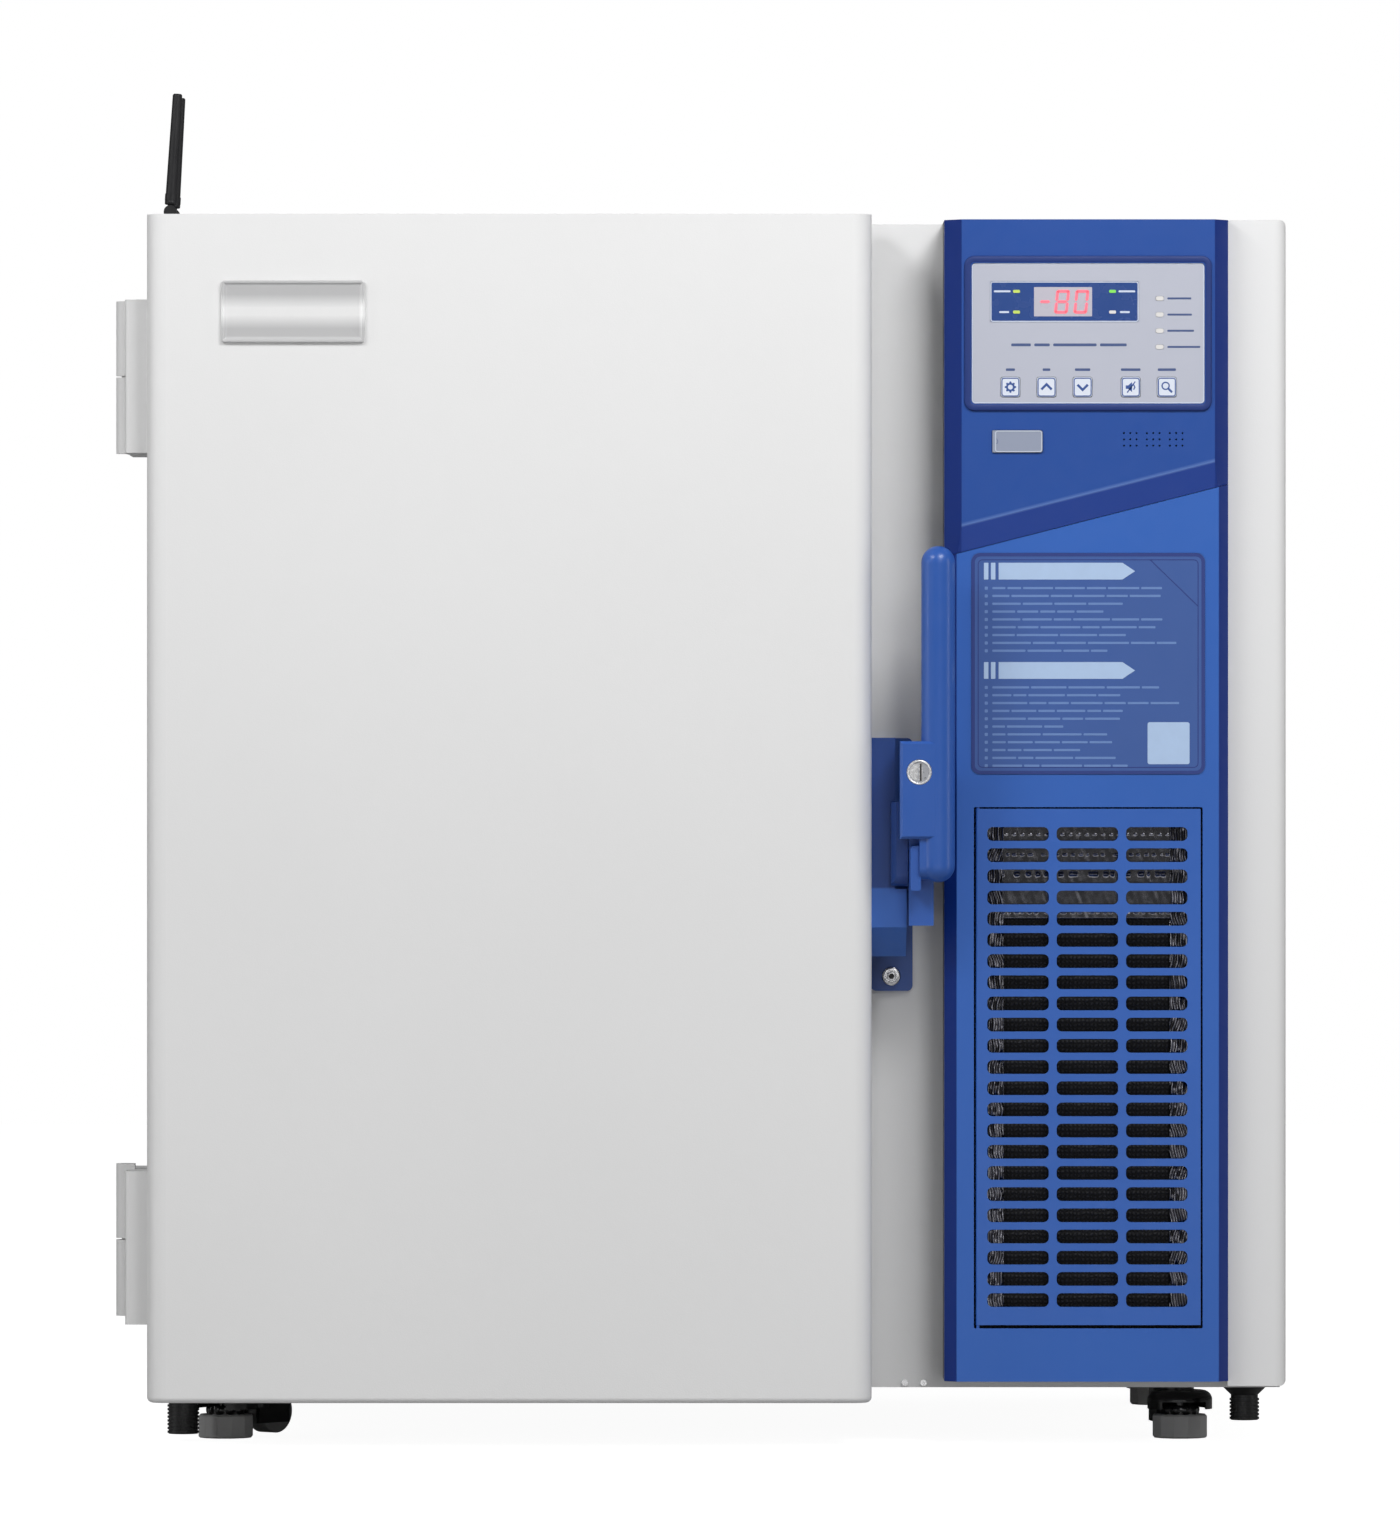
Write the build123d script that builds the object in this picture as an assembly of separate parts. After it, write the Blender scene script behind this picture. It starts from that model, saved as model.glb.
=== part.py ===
from build123d import *
import math
import os

# Upright ultra low temperature freezer with the cold box on the left and the machine bay on the right.
# Millimetres, +Z up, front towards -Y. Origin: centre of the overall outline, on the floor.

# Widths, from the hinge barrels on the left to the side cover on the right
hinge_reach = 25.6
door_width = 516.8
column_width = 52.5
panel_width = 203.1
cover_width = 42.0
overall_width = hinge_reach + door_width + column_width + panel_width + cover_width

# Depths, from the front of the handle to the rear spacers
handle_proud = 12.0
door_thickness = 78.0
gasket_gap = 14.0
case_depth = 560.0
spacer_depth = 20.0
overall_depth = handle_proud + door_thickness + gasket_gap + case_depth + spacer_depth

# Heights: the cabinet stands on its base, and the door overlaps it below and above
case_bottom = 46.0
case_height = 831.0
door_drop = 13.0
door_rise = 3.0
base_height = 6.5
cover_drop = 3.3
cover_rise = 1.0

# Sheet and moulding thicknesses, edge radii
skin = 1.2
moulding = 4.0
door_side_radius = 14.0
door_end_radius = 4.0
cover_edge_radius = 9.0
cover_corner_radius = 4.5

# Clearances
joint_gap = 0.35
seat_gap = 0.15
running_gap = 0.05

# Walls between the cold chamber and the cabinet's skin
wall_left = 96.0
wall_right = 127.3
wall_top = 90.0
wall_bottom = 101.0
wall_back = 110.0
coil_gap = 11.0
mouth_depth = 26.0
shelf_thickness = 12.0
shelf_setback = 28.0
coil_rings = 8
coil_bend = 7.0
tube_radius = 4.0

# Limits along X
left_end = -overall_width / 2
case_left = left_end + hinge_reach
door_right = case_left + door_width
column_right = door_right + column_width
panel_right = column_right + panel_width
case_right = panel_right + cover_width

# Limits along Y
door_front = -overall_depth / 2 + handle_proud
door_back = door_front + door_thickness
case_front = door_back + gasket_gap
case_back = case_front + case_depth

# Limits along Z
case_top = case_bottom + case_height
door_bottom = case_bottom - door_drop
door_top = case_top + door_rise
base_bottom = case_bottom - base_height

# Chamber limits
chamber_x = (case_left + wall_left, column_right - wall_right)
chamber_z = (case_bottom + wall_bottom, case_top - wall_top)
chamber_back = case_back - wall_back
shelf_z = (chamber_z[0] + chamber_z[1]) / 2

# Hinges of the outer door
barrel_radius = 7.0
pin_radius = 3.0
hinge_x = left_end + barrel_radius
hinge_y = door_back + gasket_gap / 2
leaf_height = 109.5
leaf_depth = 52.0
leaf_reach = 16.7
leaf_drops = (3.7, 0.9)
leaf_corner = 3.0
hinge_low_rise = 58.5
hinge_top_drop = 59.0
knuckle_gap = 1.2

# Blue front of the machine bay
panel_front = door_front + 30.0
bay_front = door_front + 50.0
panel_edge_gap = 0.6
bevel_left = 12.3
bevel_right = 10.2
split_drop = 241.0
split_slope = 14.3
band_height = 18.2
band_depth = 3.0
lower_step = 0.5
lower_front = panel_front + band_depth + lower_step
panel_z = (case_bottom + panel_edge_gap, case_top + panel_edge_gap)

# Control panel on the upper blue piece
bezel_left_inset = 14.1
bezel_right_inset = 12.3
bezel_top_inset = 26.2
bezel_height = 110.7
bezel_border = 5.2
bezel_radius = 7.0
bezel_rise = 1.5
membrane_radius = 2.7
membrane_thickness = 3.0
membrane_sink = 0.8
window_left_inset = 13.2
window_top_inset = 13.0
window_width = 106.2
window_height = 29.1
window_thickness = 1.0
screen_left_inset = 31.3
screen_width = 41.5
screen_height = 20.9
digit_height = 17.0
digit_width = 9.6
digit_stroke = 2.0
digit_slant = 5.0
digit_rise = 0.3
digit_lefts = (2.0, 13.6, 27.4)
lamp_width = 5.0
lamp_height = 2.2
lamp_inset = 18.8
lamp_spread = 14.8
oval_width = 5.7
oval_height = 3.2
oval_right_inset = 32.0
oval_top_inset = 25.2
oval_pitch = 11.55
oval_count = 4
key_width = 13.6
key_height = 14.2
key_radius = 2.0
key_rise = 0.6
key_depth = 7.0
key_travel = 0.4
key_first_inset = 27.6
key_last_inset = 26.9
key_group_gap = 8.6
key_bottom_inset = 11.7
key_names = ("set", "up", "down", "mute", "search")
board_gap = 4.0
board_thickness = 1.6

# Socket flap and sound holes
flap_left_inset = 33.9
flap_width = 35.9
flap_height = 15.7
flap_below_bezel = 14.0
flap_thickness = 2.4
flap_sink = 1.0
sound_hole_radius = 0.7
sound_hole_pitch = 4.5
sound_group_pitch = 16.4
sound_right_inset = 54.1
sound_below_bezel = 20.4

# Instruction plate
plate_left_inset = 19.1
plate_right_inset = 17.0
plate_height = 158.2
plate_below_split = 2.3
plate_above_grille = 23.5
plate_radius = 6.0
plate_thickness = 1.0
plate_sink = 0.5

# Hinged grille
opening_left_inset = 20.9
opening_right_inset = 18.6
opening_rise = 38.1
grille_gap_side = 1.4
grille_gap_top = 1.2
grille_gap_bottom = 2.4
grille_thickness = 3.0
slot_columns = 3
slot_pitch = 15.15
slot_height = 9.9
slot_bar = 5.6
slot_radius = 3.8
slot_end = 18.0
slot_left = 8.2
slot_right = 9.4
grille_pin_radius = 1.2
grille_pin_length = 3.0

# Latch: lever, its seat on the door, and the keeper on the cabinet
grip_radius = 12.0
grip_left = 35.1
grip_bottom = 371.0
grip_height = 239.5
body_left = 19.9
body_bottom = 402.0
body_height = 69.5
body_depth = 25.8
body_bevel = 1.8
body_behind_grip = 0.2
bridge_behind_grip = 3.5
pivot_rise = 382.0
pivot_depth = 40.0
pivot_radius = 4.0
hub_radius = 11.0
tail_left = 26.6
tail_width = 17.6
tail_bottom = 340.0
tail_front = 10.0
tail_depth = 15.0
tab_width = 8.2
tab_height = 32.0
tab_bottom = 365.0
tab_behind_grip = 7.0
arm_half_height = 8.0
arm_clearance = 6.0
nose_gap = 0.5
nose_height = 10.0
nose_reach = 18.0
knuckle_left = 14.0
knuckle_bevel = 3.6
knuckle_front = 25.4
knuckle_back = 12.0
knuckle_low = 14.0
knuckle_high = 46.0
knuckle_soft = 9.0
wedge_depth = 26.0
wedge_height = 22.0
lock_radius = 9.1
lock_left = 33.5
lock_rise = 449.4
lock_proud = 0.2
lock_slot_width = 2.0
lock_slot_length = 13.2
cam_width = 6.0
cam_thickness = 2.5
base_width = 16.9
base_toe_width = 25.1
base_rise = 317.5
base_tall = 156.5
base_toe_height = 48.5
base_front = 24.0
base_back = 66.0
keeper_width = 30.6
keeper_rise = 292.0
keeper_height = 182.0
keeper_thickness = 4.0
keeper_radius = 4.0
screw_radius = 6.8
screw_head = 3.0
keeper_screw_left = 15.3
keeper_screw_rise = 10.6
base_screw_radius = 2.4
base_screw_insets = (25.0, 38.5)

# Name badge, left bare
badge_left = 53.6
badge_width = 102.0
badge_height = 44.1
badge_below_top = 47.5
badge_thickness = 2.5
badge_rim = 2.2
badge_sink = 0.8
badge_radius = 2.0

# Casters with a screw foot each, and the two levelling legs
caster_left_inset = 50.4
caster_right_inset = 72.0
caster_front_inset = 58.0
caster_back_inset = 72.0
caster_turns = (40.0, -8.0, 40.0, -8.0)
foot_across = 39.0
foot_height = 17.0
foot_lift = 2.4
foot_sides = 12
foot_bevel = 1.2
collar_radius = 13.0
collar_height = 6.5
spindle_radius = 2.3
screw_stem_radius = 6.0
hood_radius = 23.5
hood_wall = 3.0
hood_bottom = 21.0
hood_roof = 26.5
hood_top = 34.5
hood_round = 7.0
mouth_half_width = 16.0
swivel_offset = 26.0
swivel_stem_radius = 7.0
wheel_radius = 16.0
wheel_width = 18.0
wheel_lift = 1.5
wheel_offset = 21.0
axle_radius = 3.0
cheek_thickness = 3.0
leg_radius = 11.5
leg_rib = 0.9
leg_pitch = 2.7
leg_stud_radius = 4.0
leg_front_inset = 20.0
leg_left_inset = 21.4
leg_right_inset = 27.0
leg_left_bottom = 5.0
leg_right_bottom = 15.0
leg_right_radius = 10.7
leg_flange_radius = 16.0
leg_flange_height = 6.0
base_sheet = 2.0
pad_half = 34.0

# Antennas on the top left edge
antenna_radius = 4.2
antenna_tip_radius = 3.45
antenna_length = 86.0
antenna_lean = 3.5
antenna_setbacks = (80.0, 130.0)
antenna_inset = 9.2
module_width = 20.0
module_depth = 84.0
module_height = 8.0
knuckle_radius = 4.6
knuckle_width = 5.0

# Machine bay contents
filter_thickness = 8.0
filter_gap = 6.0
condenser_depth = 44.0
condenser_gap = 10.0
condenser_rise = 44.0
condenser_above_opening = 2.5
fin_pitch = 5.0
fin_slot = 2.4
fin_cut = 14.0
fan_radius = 78.0
fan_depth = 26.0
fan_blade_count = 5
shroud_gap = 12.0
compressor_radius = 72.0
compressor_height = 165.0
compressor_lift = 14.0
compressor_setbacks = (255.0, 430.0)
line_radius = 4.0
box_width = 90.0
box_setback = 150.0
box_depth = 230.0
box_drop = 90.0
box_height = 240.0
battery_size = 100.0
battery_width = 66.0
battery_gap = 20.0
battery_drop = 60.0
inlet_inset = 70.0
inlet_rise = 420.0
rear_sheet = 1.5
louvre_rows = 14
louvre_pitch = 22.0
louvre_rise = 60.0
louvre_height = 7.0


def span_box(x, y, z):
    """Box from its limits: each argument is a (low, high) pair."""
    size = (x[1] - x[0], y[1] - y[0], z[1] - z[0])
    centre = ((x[0] + x[1]) / 2, (y[0] + y[1]) / 2, (z[0] + z[1]) / 2)
    return Pos(*centre) * Box(*size)


def face_plate(x, y, z, radius):
    """Plate seen from the front with rounded corners, as deep as y."""
    seat = Plane(origin=((x[0] + x[1]) / 2, y[1], (z[0] + z[1]) / 2), x_dir=(1, 0, 0), z_dir=(0, -1, 0))
    return extrude(seat * RectangleRounded(x[1] - x[0], z[1] - z[0], radius), amount=y[1] - y[0])


def bar_x(x, y, z, radius):
    """Round bar along X."""
    return Pos((x[0] + x[1]) / 2, y, z) * Rot(0, 90, 0) * Cylinder(radius, x[1] - x[0])


def bar_y(x, y, z, radius):
    """Round bar along Y."""
    return Pos(x, (y[0] + y[1]) / 2, z) * Rot(90, 0, 0) * Cylinder(radius, y[1] - y[0])


def bar_z(x, y, z, radius):
    """Round bar along Z."""
    return Pos(x, y, (z[0] + z[1]) / 2) * Cylinder(radius, z[1] - z[0])


def plan_prism(points, z):
    """Prism standing on an outline drawn in X and Y."""
    return extrude(Plane(origin=(0, 0, z[0])) * make_face(Polyline(*points, close=True)), amount=z[1] - z[0])


def pipe(points, bend, radius):
    """Tube through the points with arcs at the corners."""
    path = FilletPolyline(*points, radius=bend)
    return sweep(Plane(origin=path @ 0, z_dir=path % 0) * Circle(radius), path=path)


def shrink(span, by):
    """The same span with each end moved inwards."""
    return (span[0] + by, span[1] - by)


def save(shape, node):
    """Write one node's STEP file."""
    export_step(shape, f"parts/{node}.step")


# Outer door

def door_block(inset):
    """The door's outline, drawn in from every side but the back."""
    block = span_box(shrink((case_left, door_right), inset), (door_front + inset, door_back),
                     shrink((door_bottom, door_top), inset))
    upright = block.edges().filter_by(Axis.Z).sort_by(Axis.Y)[:2]
    block = fillet(upright, door_side_radius - inset)
    for end in (block.faces().sort_by(Axis.Z)[-1], block.faces().sort_by(Axis.Z)[0]):
        rim = end.edges().filter_by(lambda e: e.center().Y < door_back - 1)
        block = fillet(rim, door_end_radius - inset)
    return block


plug_x = shrink(chamber_x, 8.0)
plug_z = shrink(chamber_z, 8.0)
plug_back = case_front - 4.0
liner_back = door_back
liner_sheet = 2.0


def door_skin():
    return door_block(0) - door_block(skin)


def door_liner():
    """Inner pan of the door, with a plug that reaches towards the chamber mouth."""
    rim = door_side_radius
    pan = face_plate(shrink((case_left, door_right), skin + seat_gap), (liner_back - liner_sheet, liner_back),
                     shrink((door_bottom, door_top), skin + seat_gap), door_end_radius)
    plug = face_plate(plug_x, (liner_back - liner_sheet, plug_back), plug_z, rim)
    hollow = face_plate(shrink(plug_x, liner_sheet), (liner_back - liner_sheet, plug_back - liner_sheet),
                        shrink(plug_z, liner_sheet), rim - liner_sheet)
    return pan + plug - hollow


def door_foam():
    behind = span_box((case_left, door_right), (liner_back - liner_sheet, case_front), (door_bottom, door_top))
    body = door_block(skin + seat_gap) - behind
    plug = face_plate(shrink(plug_x, liner_sheet + seat_gap),
                      (liner_back - 2 * liner_sheet, plug_back - liner_sheet - seat_gap),
                      shrink(plug_z, liner_sheet + seat_gap), door_side_radius - liner_sheet)
    return body + plug


def door_gasket():
    """Bellows seal between the door and the cabinet."""
    outer_x = shrink((case_left, door_right), door_side_radius)
    outer_z = (case_bottom + door_side_radius, case_top - door_side_radius)
    seal = 24.0
    groove = 6.0
    y = (door_back, case_front - joint_gap)
    ring = face_plate(outer_x, y, outer_z, 10.0)
    ring -= face_plate(shrink(outer_x, seal), y, shrink(outer_z, seal), 6.0)
    middle = (y[0] + y[1]) / 2
    notch_y = (middle - groove / 3, middle + groove / 3)
    wide = face_plate(shrink(outer_x, -1), notch_y, shrink(outer_z, -1), 11.0)
    keep = face_plate(shrink(outer_x, groove), notch_y, shrink(outer_z, groove), 6.0)
    return ring - (wide - keep)


def nameplate():
    """Bare badge with a raised rim."""
    x = (case_left + badge_left, case_left + badge_left + badge_width)
    z = (door_top - badge_below_top - badge_height, door_top - badge_below_top)
    front = door_front - badge_thickness
    plate = face_plate(x, (front, door_front), z, badge_radius)
    field_y = (front, front + badge_sink)
    field = face_plate(shrink(x, badge_rim), field_y, shrink(z, badge_rim), badge_radius / 2)
    return plate - field


def hinge_leaves(on_door):
    """Both hinge leaves of one side, with their knuckles. The cabinet's carry the pins."""
    pieces = []
    lows = (door_bottom + hinge_low_rise, door_top - hinge_top_drop - leaf_height)
    for low, drop in zip(lows, leaf_drops):
        split = low + leaf_height / 2
        leaf_x = (case_left - leaf_reach + joint_gap, case_left)
        if on_door:
            leaf_y = (door_back - leaf_depth, door_back - knuckle_gap)
            knuckle_z = (split + knuckle_gap, low + leaf_height)
            web_y = (leaf_y[1] - barrel_radius, hinge_y)
        else:
            leaf_y = (case_front + knuckle_gap, case_front + leaf_depth)
            knuckle_z = (low, split)
            web_y = (hinge_y, leaf_y[0] + barrel_radius)
        piece = span_box(leaf_x, leaf_y, (low - drop, low + leaf_height - drop))
        front = leaf_y[0] if on_door else leaf_y[1]
        corner = piece.edges().filter_by(Axis.Z).filter_by(lambda e: abs(e.center().Y - front) < 0.1)
        piece = fillet(corner.sort_by(Axis.X)[:1], leaf_corner)
        piece += span_box((hinge_x, hinge_x + barrel_radius), web_y, knuckle_z)
        piece += bar_z(hinge_x, hinge_y, knuckle_z, barrel_radius)
        if on_door:
            piece -= bar_z(hinge_x, hinge_y, (split - 1, low + leaf_height - 4), pin_radius + running_gap)
        else:
            piece += bar_z(hinge_x, hinge_y, (low, low + leaf_height - 6), pin_radius)
        pieces.append(piece)
    return Compound(children=pieces)


# Latch

def latch_x(inset):
    return door_right + inset


def latch_z(rise):
    return door_bottom + rise


pivot_y = door_front + pivot_depth
pivot_z = latch_z(pivot_rise)
pin_end = latch_x(tail_left + tail_width) - 4.0


grip_x = latch_x(grip_left) + grip_radius
grip_front = door_front - handle_proud
grip_y = grip_front + grip_radius
body_front = grip_front + body_behind_grip


def handle_base():
    """Seat of the lever on the door's edge, with a bevelled knuckle and the pivot pin."""
    y = (door_front + base_front, door_front + base_back)
    low = latch_z(base_rise)
    block = span_box((door_right, latch_x(base_width)), y, (low, low + base_tall))
    toe = span_box((door_right, latch_x(base_toe_width)), y, (low, low + base_toe_height))
    wedge_points = [(y[0] - 1, low - 1), (y[0] + wedge_depth, low - 1), (y[0] - 1, low + wedge_height)]
    seat = Plane(origin=(door_right - 1, 0, 0), x_dir=(0, 1, 0), z_dir=(1, 0, 0))
    wedge = extrude(seat * make_face(Polyline(*wedge_points, close=True)), amount=base_toe_width + 2)
    knuckle = span_box((latch_x(knuckle_left), latch_x(tail_left) - 2 * joint_gap),
                       (pivot_y - knuckle_front, pivot_y + knuckle_back),
                       (pivot_z - knuckle_low, pivot_z + knuckle_high))
    front = knuckle.faces().sort_by(Axis.Y)[0]
    left_edge = front.edges().filter_by(Axis.Z).sort_by(Axis.X)[:1]
    knuckle = chamfer(left_edge, knuckle_bevel)
    low_edge = knuckle.faces().sort_by(Axis.Y)[0].edges().filter_by(Axis.X).sort_by(Axis.Z)[:1]
    knuckle = fillet(low_edge, knuckle_soft)
    pin = bar_x((latch_x(base_width), pin_end), pivot_y, pivot_z, pivot_radius)
    return block + toe - wedge + knuckle + pin


def lever_handle():
    """Round grip, lock body, hub with its bore, tail, tab and the arm above the keeper."""
    grip_z = (latch_z(grip_bottom), latch_z(grip_bottom) + grip_height)
    core_z = shrink(grip_z, grip_radius)
    grip = bar_z(grip_x, grip_y, core_z, grip_radius)
    grip += Pos(grip_x, grip_y, core_z[0]) * Sphere(grip_radius)
    grip += Pos(grip_x, grip_y, core_z[1]) * Sphere(grip_radius)

    body_x = (latch_x(body_left), grip_x)
    body_z = (latch_z(body_bottom), latch_z(body_bottom) + body_height)
    body = span_box(body_x, (body_front, body_front + body_depth), body_z)
    front_edges = body.faces().sort_by(Axis.Y)[0].edges().filter_by(lambda e: e.center().X < body_x[1] - 1)
    body = chamfer(front_edges, body_bevel)

    tail_x = (latch_x(tail_left), latch_x(tail_left) + tail_width)
    tail_y = (door_front + tail_front, door_front + tail_front + tail_depth)
    tail = span_box(tail_x, tail_y, (latch_z(tail_bottom), body_z[0] + 2))
    web = span_box(tail_x, (tail_y[0], pivot_y), (pivot_z - hub_radius, pivot_z + hub_radius))
    bridge = span_box((tail_x[0] + tab_width - 1, grip_x), (grip_front + bridge_behind_grip, tail_y[1]),
                      (grip_z[0] + 2, body_z[0] + 2))
    bridge_front = bridge.faces().sort_by(Axis.Y)[0]
    bridge = fillet(bridge_front.edges().filter_by(Axis.X).sort_by(Axis.Z)[:1], knuckle_soft)
    hub = bar_x(tail_x, pivot_y, pivot_z, hub_radius)
    tab = span_box((tail_x[0] + 0.8, tail_x[0] + tab_width), (grip_front + tab_behind_grip, tail_y[0] + 2),
                   (latch_z(tab_bottom), latch_z(tab_bottom) + tab_height))
    tab = fillet(tab.edges().filter_by(Axis.Y), 2.0)
    arm_x = (tail_x[0], tail_x[0] + tab_width)
    arm_end = case_front - keeper_thickness - arm_clearance
    arm = span_box(arm_x, (pivot_y, arm_end), (pivot_z - arm_half_height, pivot_z + arm_half_height))

    lever = grip + body + tail + web + bridge + hub + tab + arm
    bore = bar_x((tail_x[0] - 1, pin_end + 1), pivot_y, pivot_z, pivot_radius + running_gap)
    lock_hole = bar_y(latch_x(lock_left), (grip_front - 1, body_front + body_depth + 1), latch_z(lock_rise),
                      lock_radius + running_gap)
    return lever - bore - lock_hole


def lock_cylinder():
    """Slotted cylinder with a short cam behind the lever."""
    front = body_front - lock_proud
    x = latch_x(lock_left)
    z = latch_z(lock_rise)
    back = body_front + body_depth
    body = bar_y(x, (front, back + joint_gap), z, lock_radius)
    body = chamfer(body.edges().filter_by(GeomType.CIRCLE).sort_by(Axis.Y)[:1], 0.8)
    slot = span_box((x - lock_slot_width / 2, x + lock_slot_width / 2), (front - 1, front + 1.6),
                    (z - lock_slot_length / 2, z + lock_slot_length / 2))
    cam = span_box((x - cam_width / 2, x + cam_width / 2), (back + joint_gap, back + joint_gap + cam_thickness),
                   (z - cam_width / 2, z + lock_radius + cam_width / 2))
    return body - slot + cam


def striker_plate():
    """Keeper plate on the cabinet's front column, with a nose under the lever's arm."""
    x = (door_right + joint_gap, door_right + keeper_width)
    z = (latch_z(keeper_rise), latch_z(keeper_rise) + keeper_height)
    plate = face_plate(x, (case_front - keeper_thickness, case_front), z, keeper_radius)
    nose_x = (latch_x(tail_left), latch_x(keeper_width))
    nose_top = pivot_z - arm_half_height - nose_gap
    nose = span_box(nose_x, (case_front - keeper_thickness - nose_reach, case_front - keeper_thickness),
                    (nose_top - nose_height, nose_top))
    return plate + nose


def cabinet_screws():
    """Keeper screw and the two front screws of the base."""
    x = latch_x(keeper_screw_left)
    z = latch_z(keeper_rise) + keeper_screw_rise
    y = case_front - keeper_thickness
    head = bar_y(x, (y - screw_head, y), z, screw_radius)
    head = fillet(head.edges().filter_by(GeomType.CIRCLE).sort_by(Axis.Y)[:1], 1.2)
    socket = bar_y(x, (y - screw_head - 1, y - 1), z, screw_radius * 0.35)
    screws = [head - socket]
    for inset in base_screw_insets:
        screws.append(bar_y(door_right + inset, (case_front - 2.0, case_front), base_bottom + base_height / 2,
                            base_screw_radius))
    return Compound(children=screws)


# Cabinet

def outer_case():
    """Steel skin of the insulated box, open at the chamber mouth."""
    x = (case_left, column_right)
    y = (case_front, case_back)
    z = (case_bottom, case_top)
    shell = span_box(x, y, z) - span_box(shrink(x, skin), shrink(y, skin), shrink(z, skin))
    mouth_y = (case_front - 1, case_front + 2 * skin)
    return shell - span_box(shrink(chamber_x, -skin), mouth_y, shrink(chamber_z, -skin))


def foam_insulation():
    inner = skin + seat_gap
    x = shrink((case_left, column_right), inner)
    y = shrink((case_front, case_back), inner)
    z = shrink((case_bottom, case_top), inner)
    block = span_box(x, y, z)
    mouth = span_box(shrink(chamber_x, -inner), (case_front, chamber_back), shrink(chamber_z, -inner))
    pocket = span_box(shrink(chamber_x, -coil_gap), (case_front + mouth_depth, chamber_back + coil_gap),
                      shrink(chamber_z, -coil_gap))
    return block - mouth - pocket


# Pins of the inner doors
inner_thickness = 20.0
inner_setback = 5.0
inner_pin_radius = 1.5
inner_barrel_radius = 2.4
inner_axis_inset = 3.2
inner_axis_x = chamber_x[0] + inner_axis_inset
inner_axis_y = case_front + 3.0
lug_height = 6.0
inner_spans = {
    "inner_door_lower": (chamber_z[0] + joint_gap * 2, shelf_z - joint_gap),
    "inner_door_upper": (shelf_z + joint_gap, chamber_z[1] - joint_gap * 2),
}
barrel_inset = 30.0


def inner_liner():
    """Steel chamber lining with the lugs that carry the inner doors."""
    outer = span_box(shrink(chamber_x, -skin), (case_front, chamber_back + skin), shrink(chamber_z, -skin))
    liner = outer - span_box(chamber_x, (case_front - 1, chamber_back), chamber_z)
    for span in inner_spans.values():
        for barrel in barrel_spans(span):
            for low in (barrel[0] - joint_gap - lug_height, barrel[1] + joint_gap):
                lug = span_box((chamber_x[0], inner_axis_x + inner_barrel_radius),
                               (case_front, inner_axis_y + inner_barrel_radius), (low, low + lug_height))
                liner += lug - bar_z(inner_axis_x, inner_axis_y, (low - 1, low + lug_height + 1),
                                     inner_pin_radius + running_gap)
    return liner


def barrel_spans(span):
    """Heights of the two barrels of one inner door."""
    length = 18.0
    return ((span[0] + barrel_inset, span[0] + barrel_inset + length),
            (span[1] - barrel_inset - length, span[1] - barrel_inset))


def inner_door(span):
    """One inner door, with two barrels and pins on its left edge."""
    leaf_front = case_front + inner_setback + inner_barrel_radius + joint_gap
    leaf_x = (chamber_x[0] + joint_gap * 2, chamber_x[1] - joint_gap * 2)
    leaf = span_box(leaf_x, (leaf_front, leaf_front + inner_thickness), span)
    leaf = chamfer(leaf.edges().filter_by(Axis.Z), 0.8)
    grab = span_box((leaf_x[1] - 40.0, leaf_x[1] - 28.0), (leaf_front - 4.0, leaf_front),
                    (sum(span) / 2 - 30, sum(span) / 2 + 30))
    leaf += grab
    for barrel in barrel_spans(span):
        leaf += bar_z(inner_axis_x, inner_axis_y, barrel, inner_barrel_radius)
        leaf += span_box((inner_axis_x - inner_barrel_radius + 0.4, inner_axis_x + inner_barrel_radius),
                         (inner_axis_y, leaf_front), barrel)
        leaf += bar_z(inner_axis_x, inner_axis_y, shrink(barrel, -lug_height), inner_pin_radius)
    return leaf


def shelf():
    """Middle shelf, a pan with a folded rim."""
    x = shrink(chamber_x, seat_gap)
    y = (case_front + inner_setback + inner_thickness + shelf_setback, chamber_back - seat_gap)
    z = (shelf_z - shelf_thickness / 2, shelf_z + shelf_thickness / 2)
    pan = span_box(x, y, z) - span_box(shrink(x, skin), shrink(y, skin), (z[0] - 1, z[1] - skin))
    return pan


def coil_ring(z):
    """One turn of evaporator tube round the liner, open at the front."""
    out = skin + tube_radius + seat_gap
    x = shrink(chamber_x, -out)
    front = case_front + mouth_depth + tube_radius + 2.0
    back = chamber_back + skin + tube_radius + seat_gap
    points = [(x[0], front, z), (x[0], back, z), (x[1], back, z), (x[1], front, z)]
    return pipe(points, coil_bend, tube_radius)


def refrigerant_lines():
    """Evaporator turns on the liner, and the lines of the machine bay."""
    pitch = (chamber_z[1] - chamber_z[0]) / coil_rings
    pieces = [coil_ring(chamber_z[0] + pitch * (row + 0.5)) for row in range(coil_rings)]
    dome_x = bay_centre_x
    port = 20.0
    top = base_top + compressor_lift + compressor_height + seat_gap
    first = case_front + compressor_setbacks[0]
    second = case_front + compressor_setbacks[1]
    loop_top = top + 90.0
    pieces.append(pipe([(dome_x - port, first, top), (dome_x - port, first, loop_top),
                        (dome_x - port, second, loop_top), (dome_x - port, second, top)], 24.0, line_radius))
    line_x = condenser_x[1] - 12.0
    line_y = condenser_front + condenser_depth / 2
    high = max(loop_top, condenser_z[1]) + 40.0
    pieces.append(pipe([(line_x, line_y, condenser_z[1] + seat_gap), (line_x, line_y, high),
                        (dome_x + port, first, high), (dome_x + port, first, top)], 24.0, line_radius))
    return Compound(children=pieces)


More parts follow.
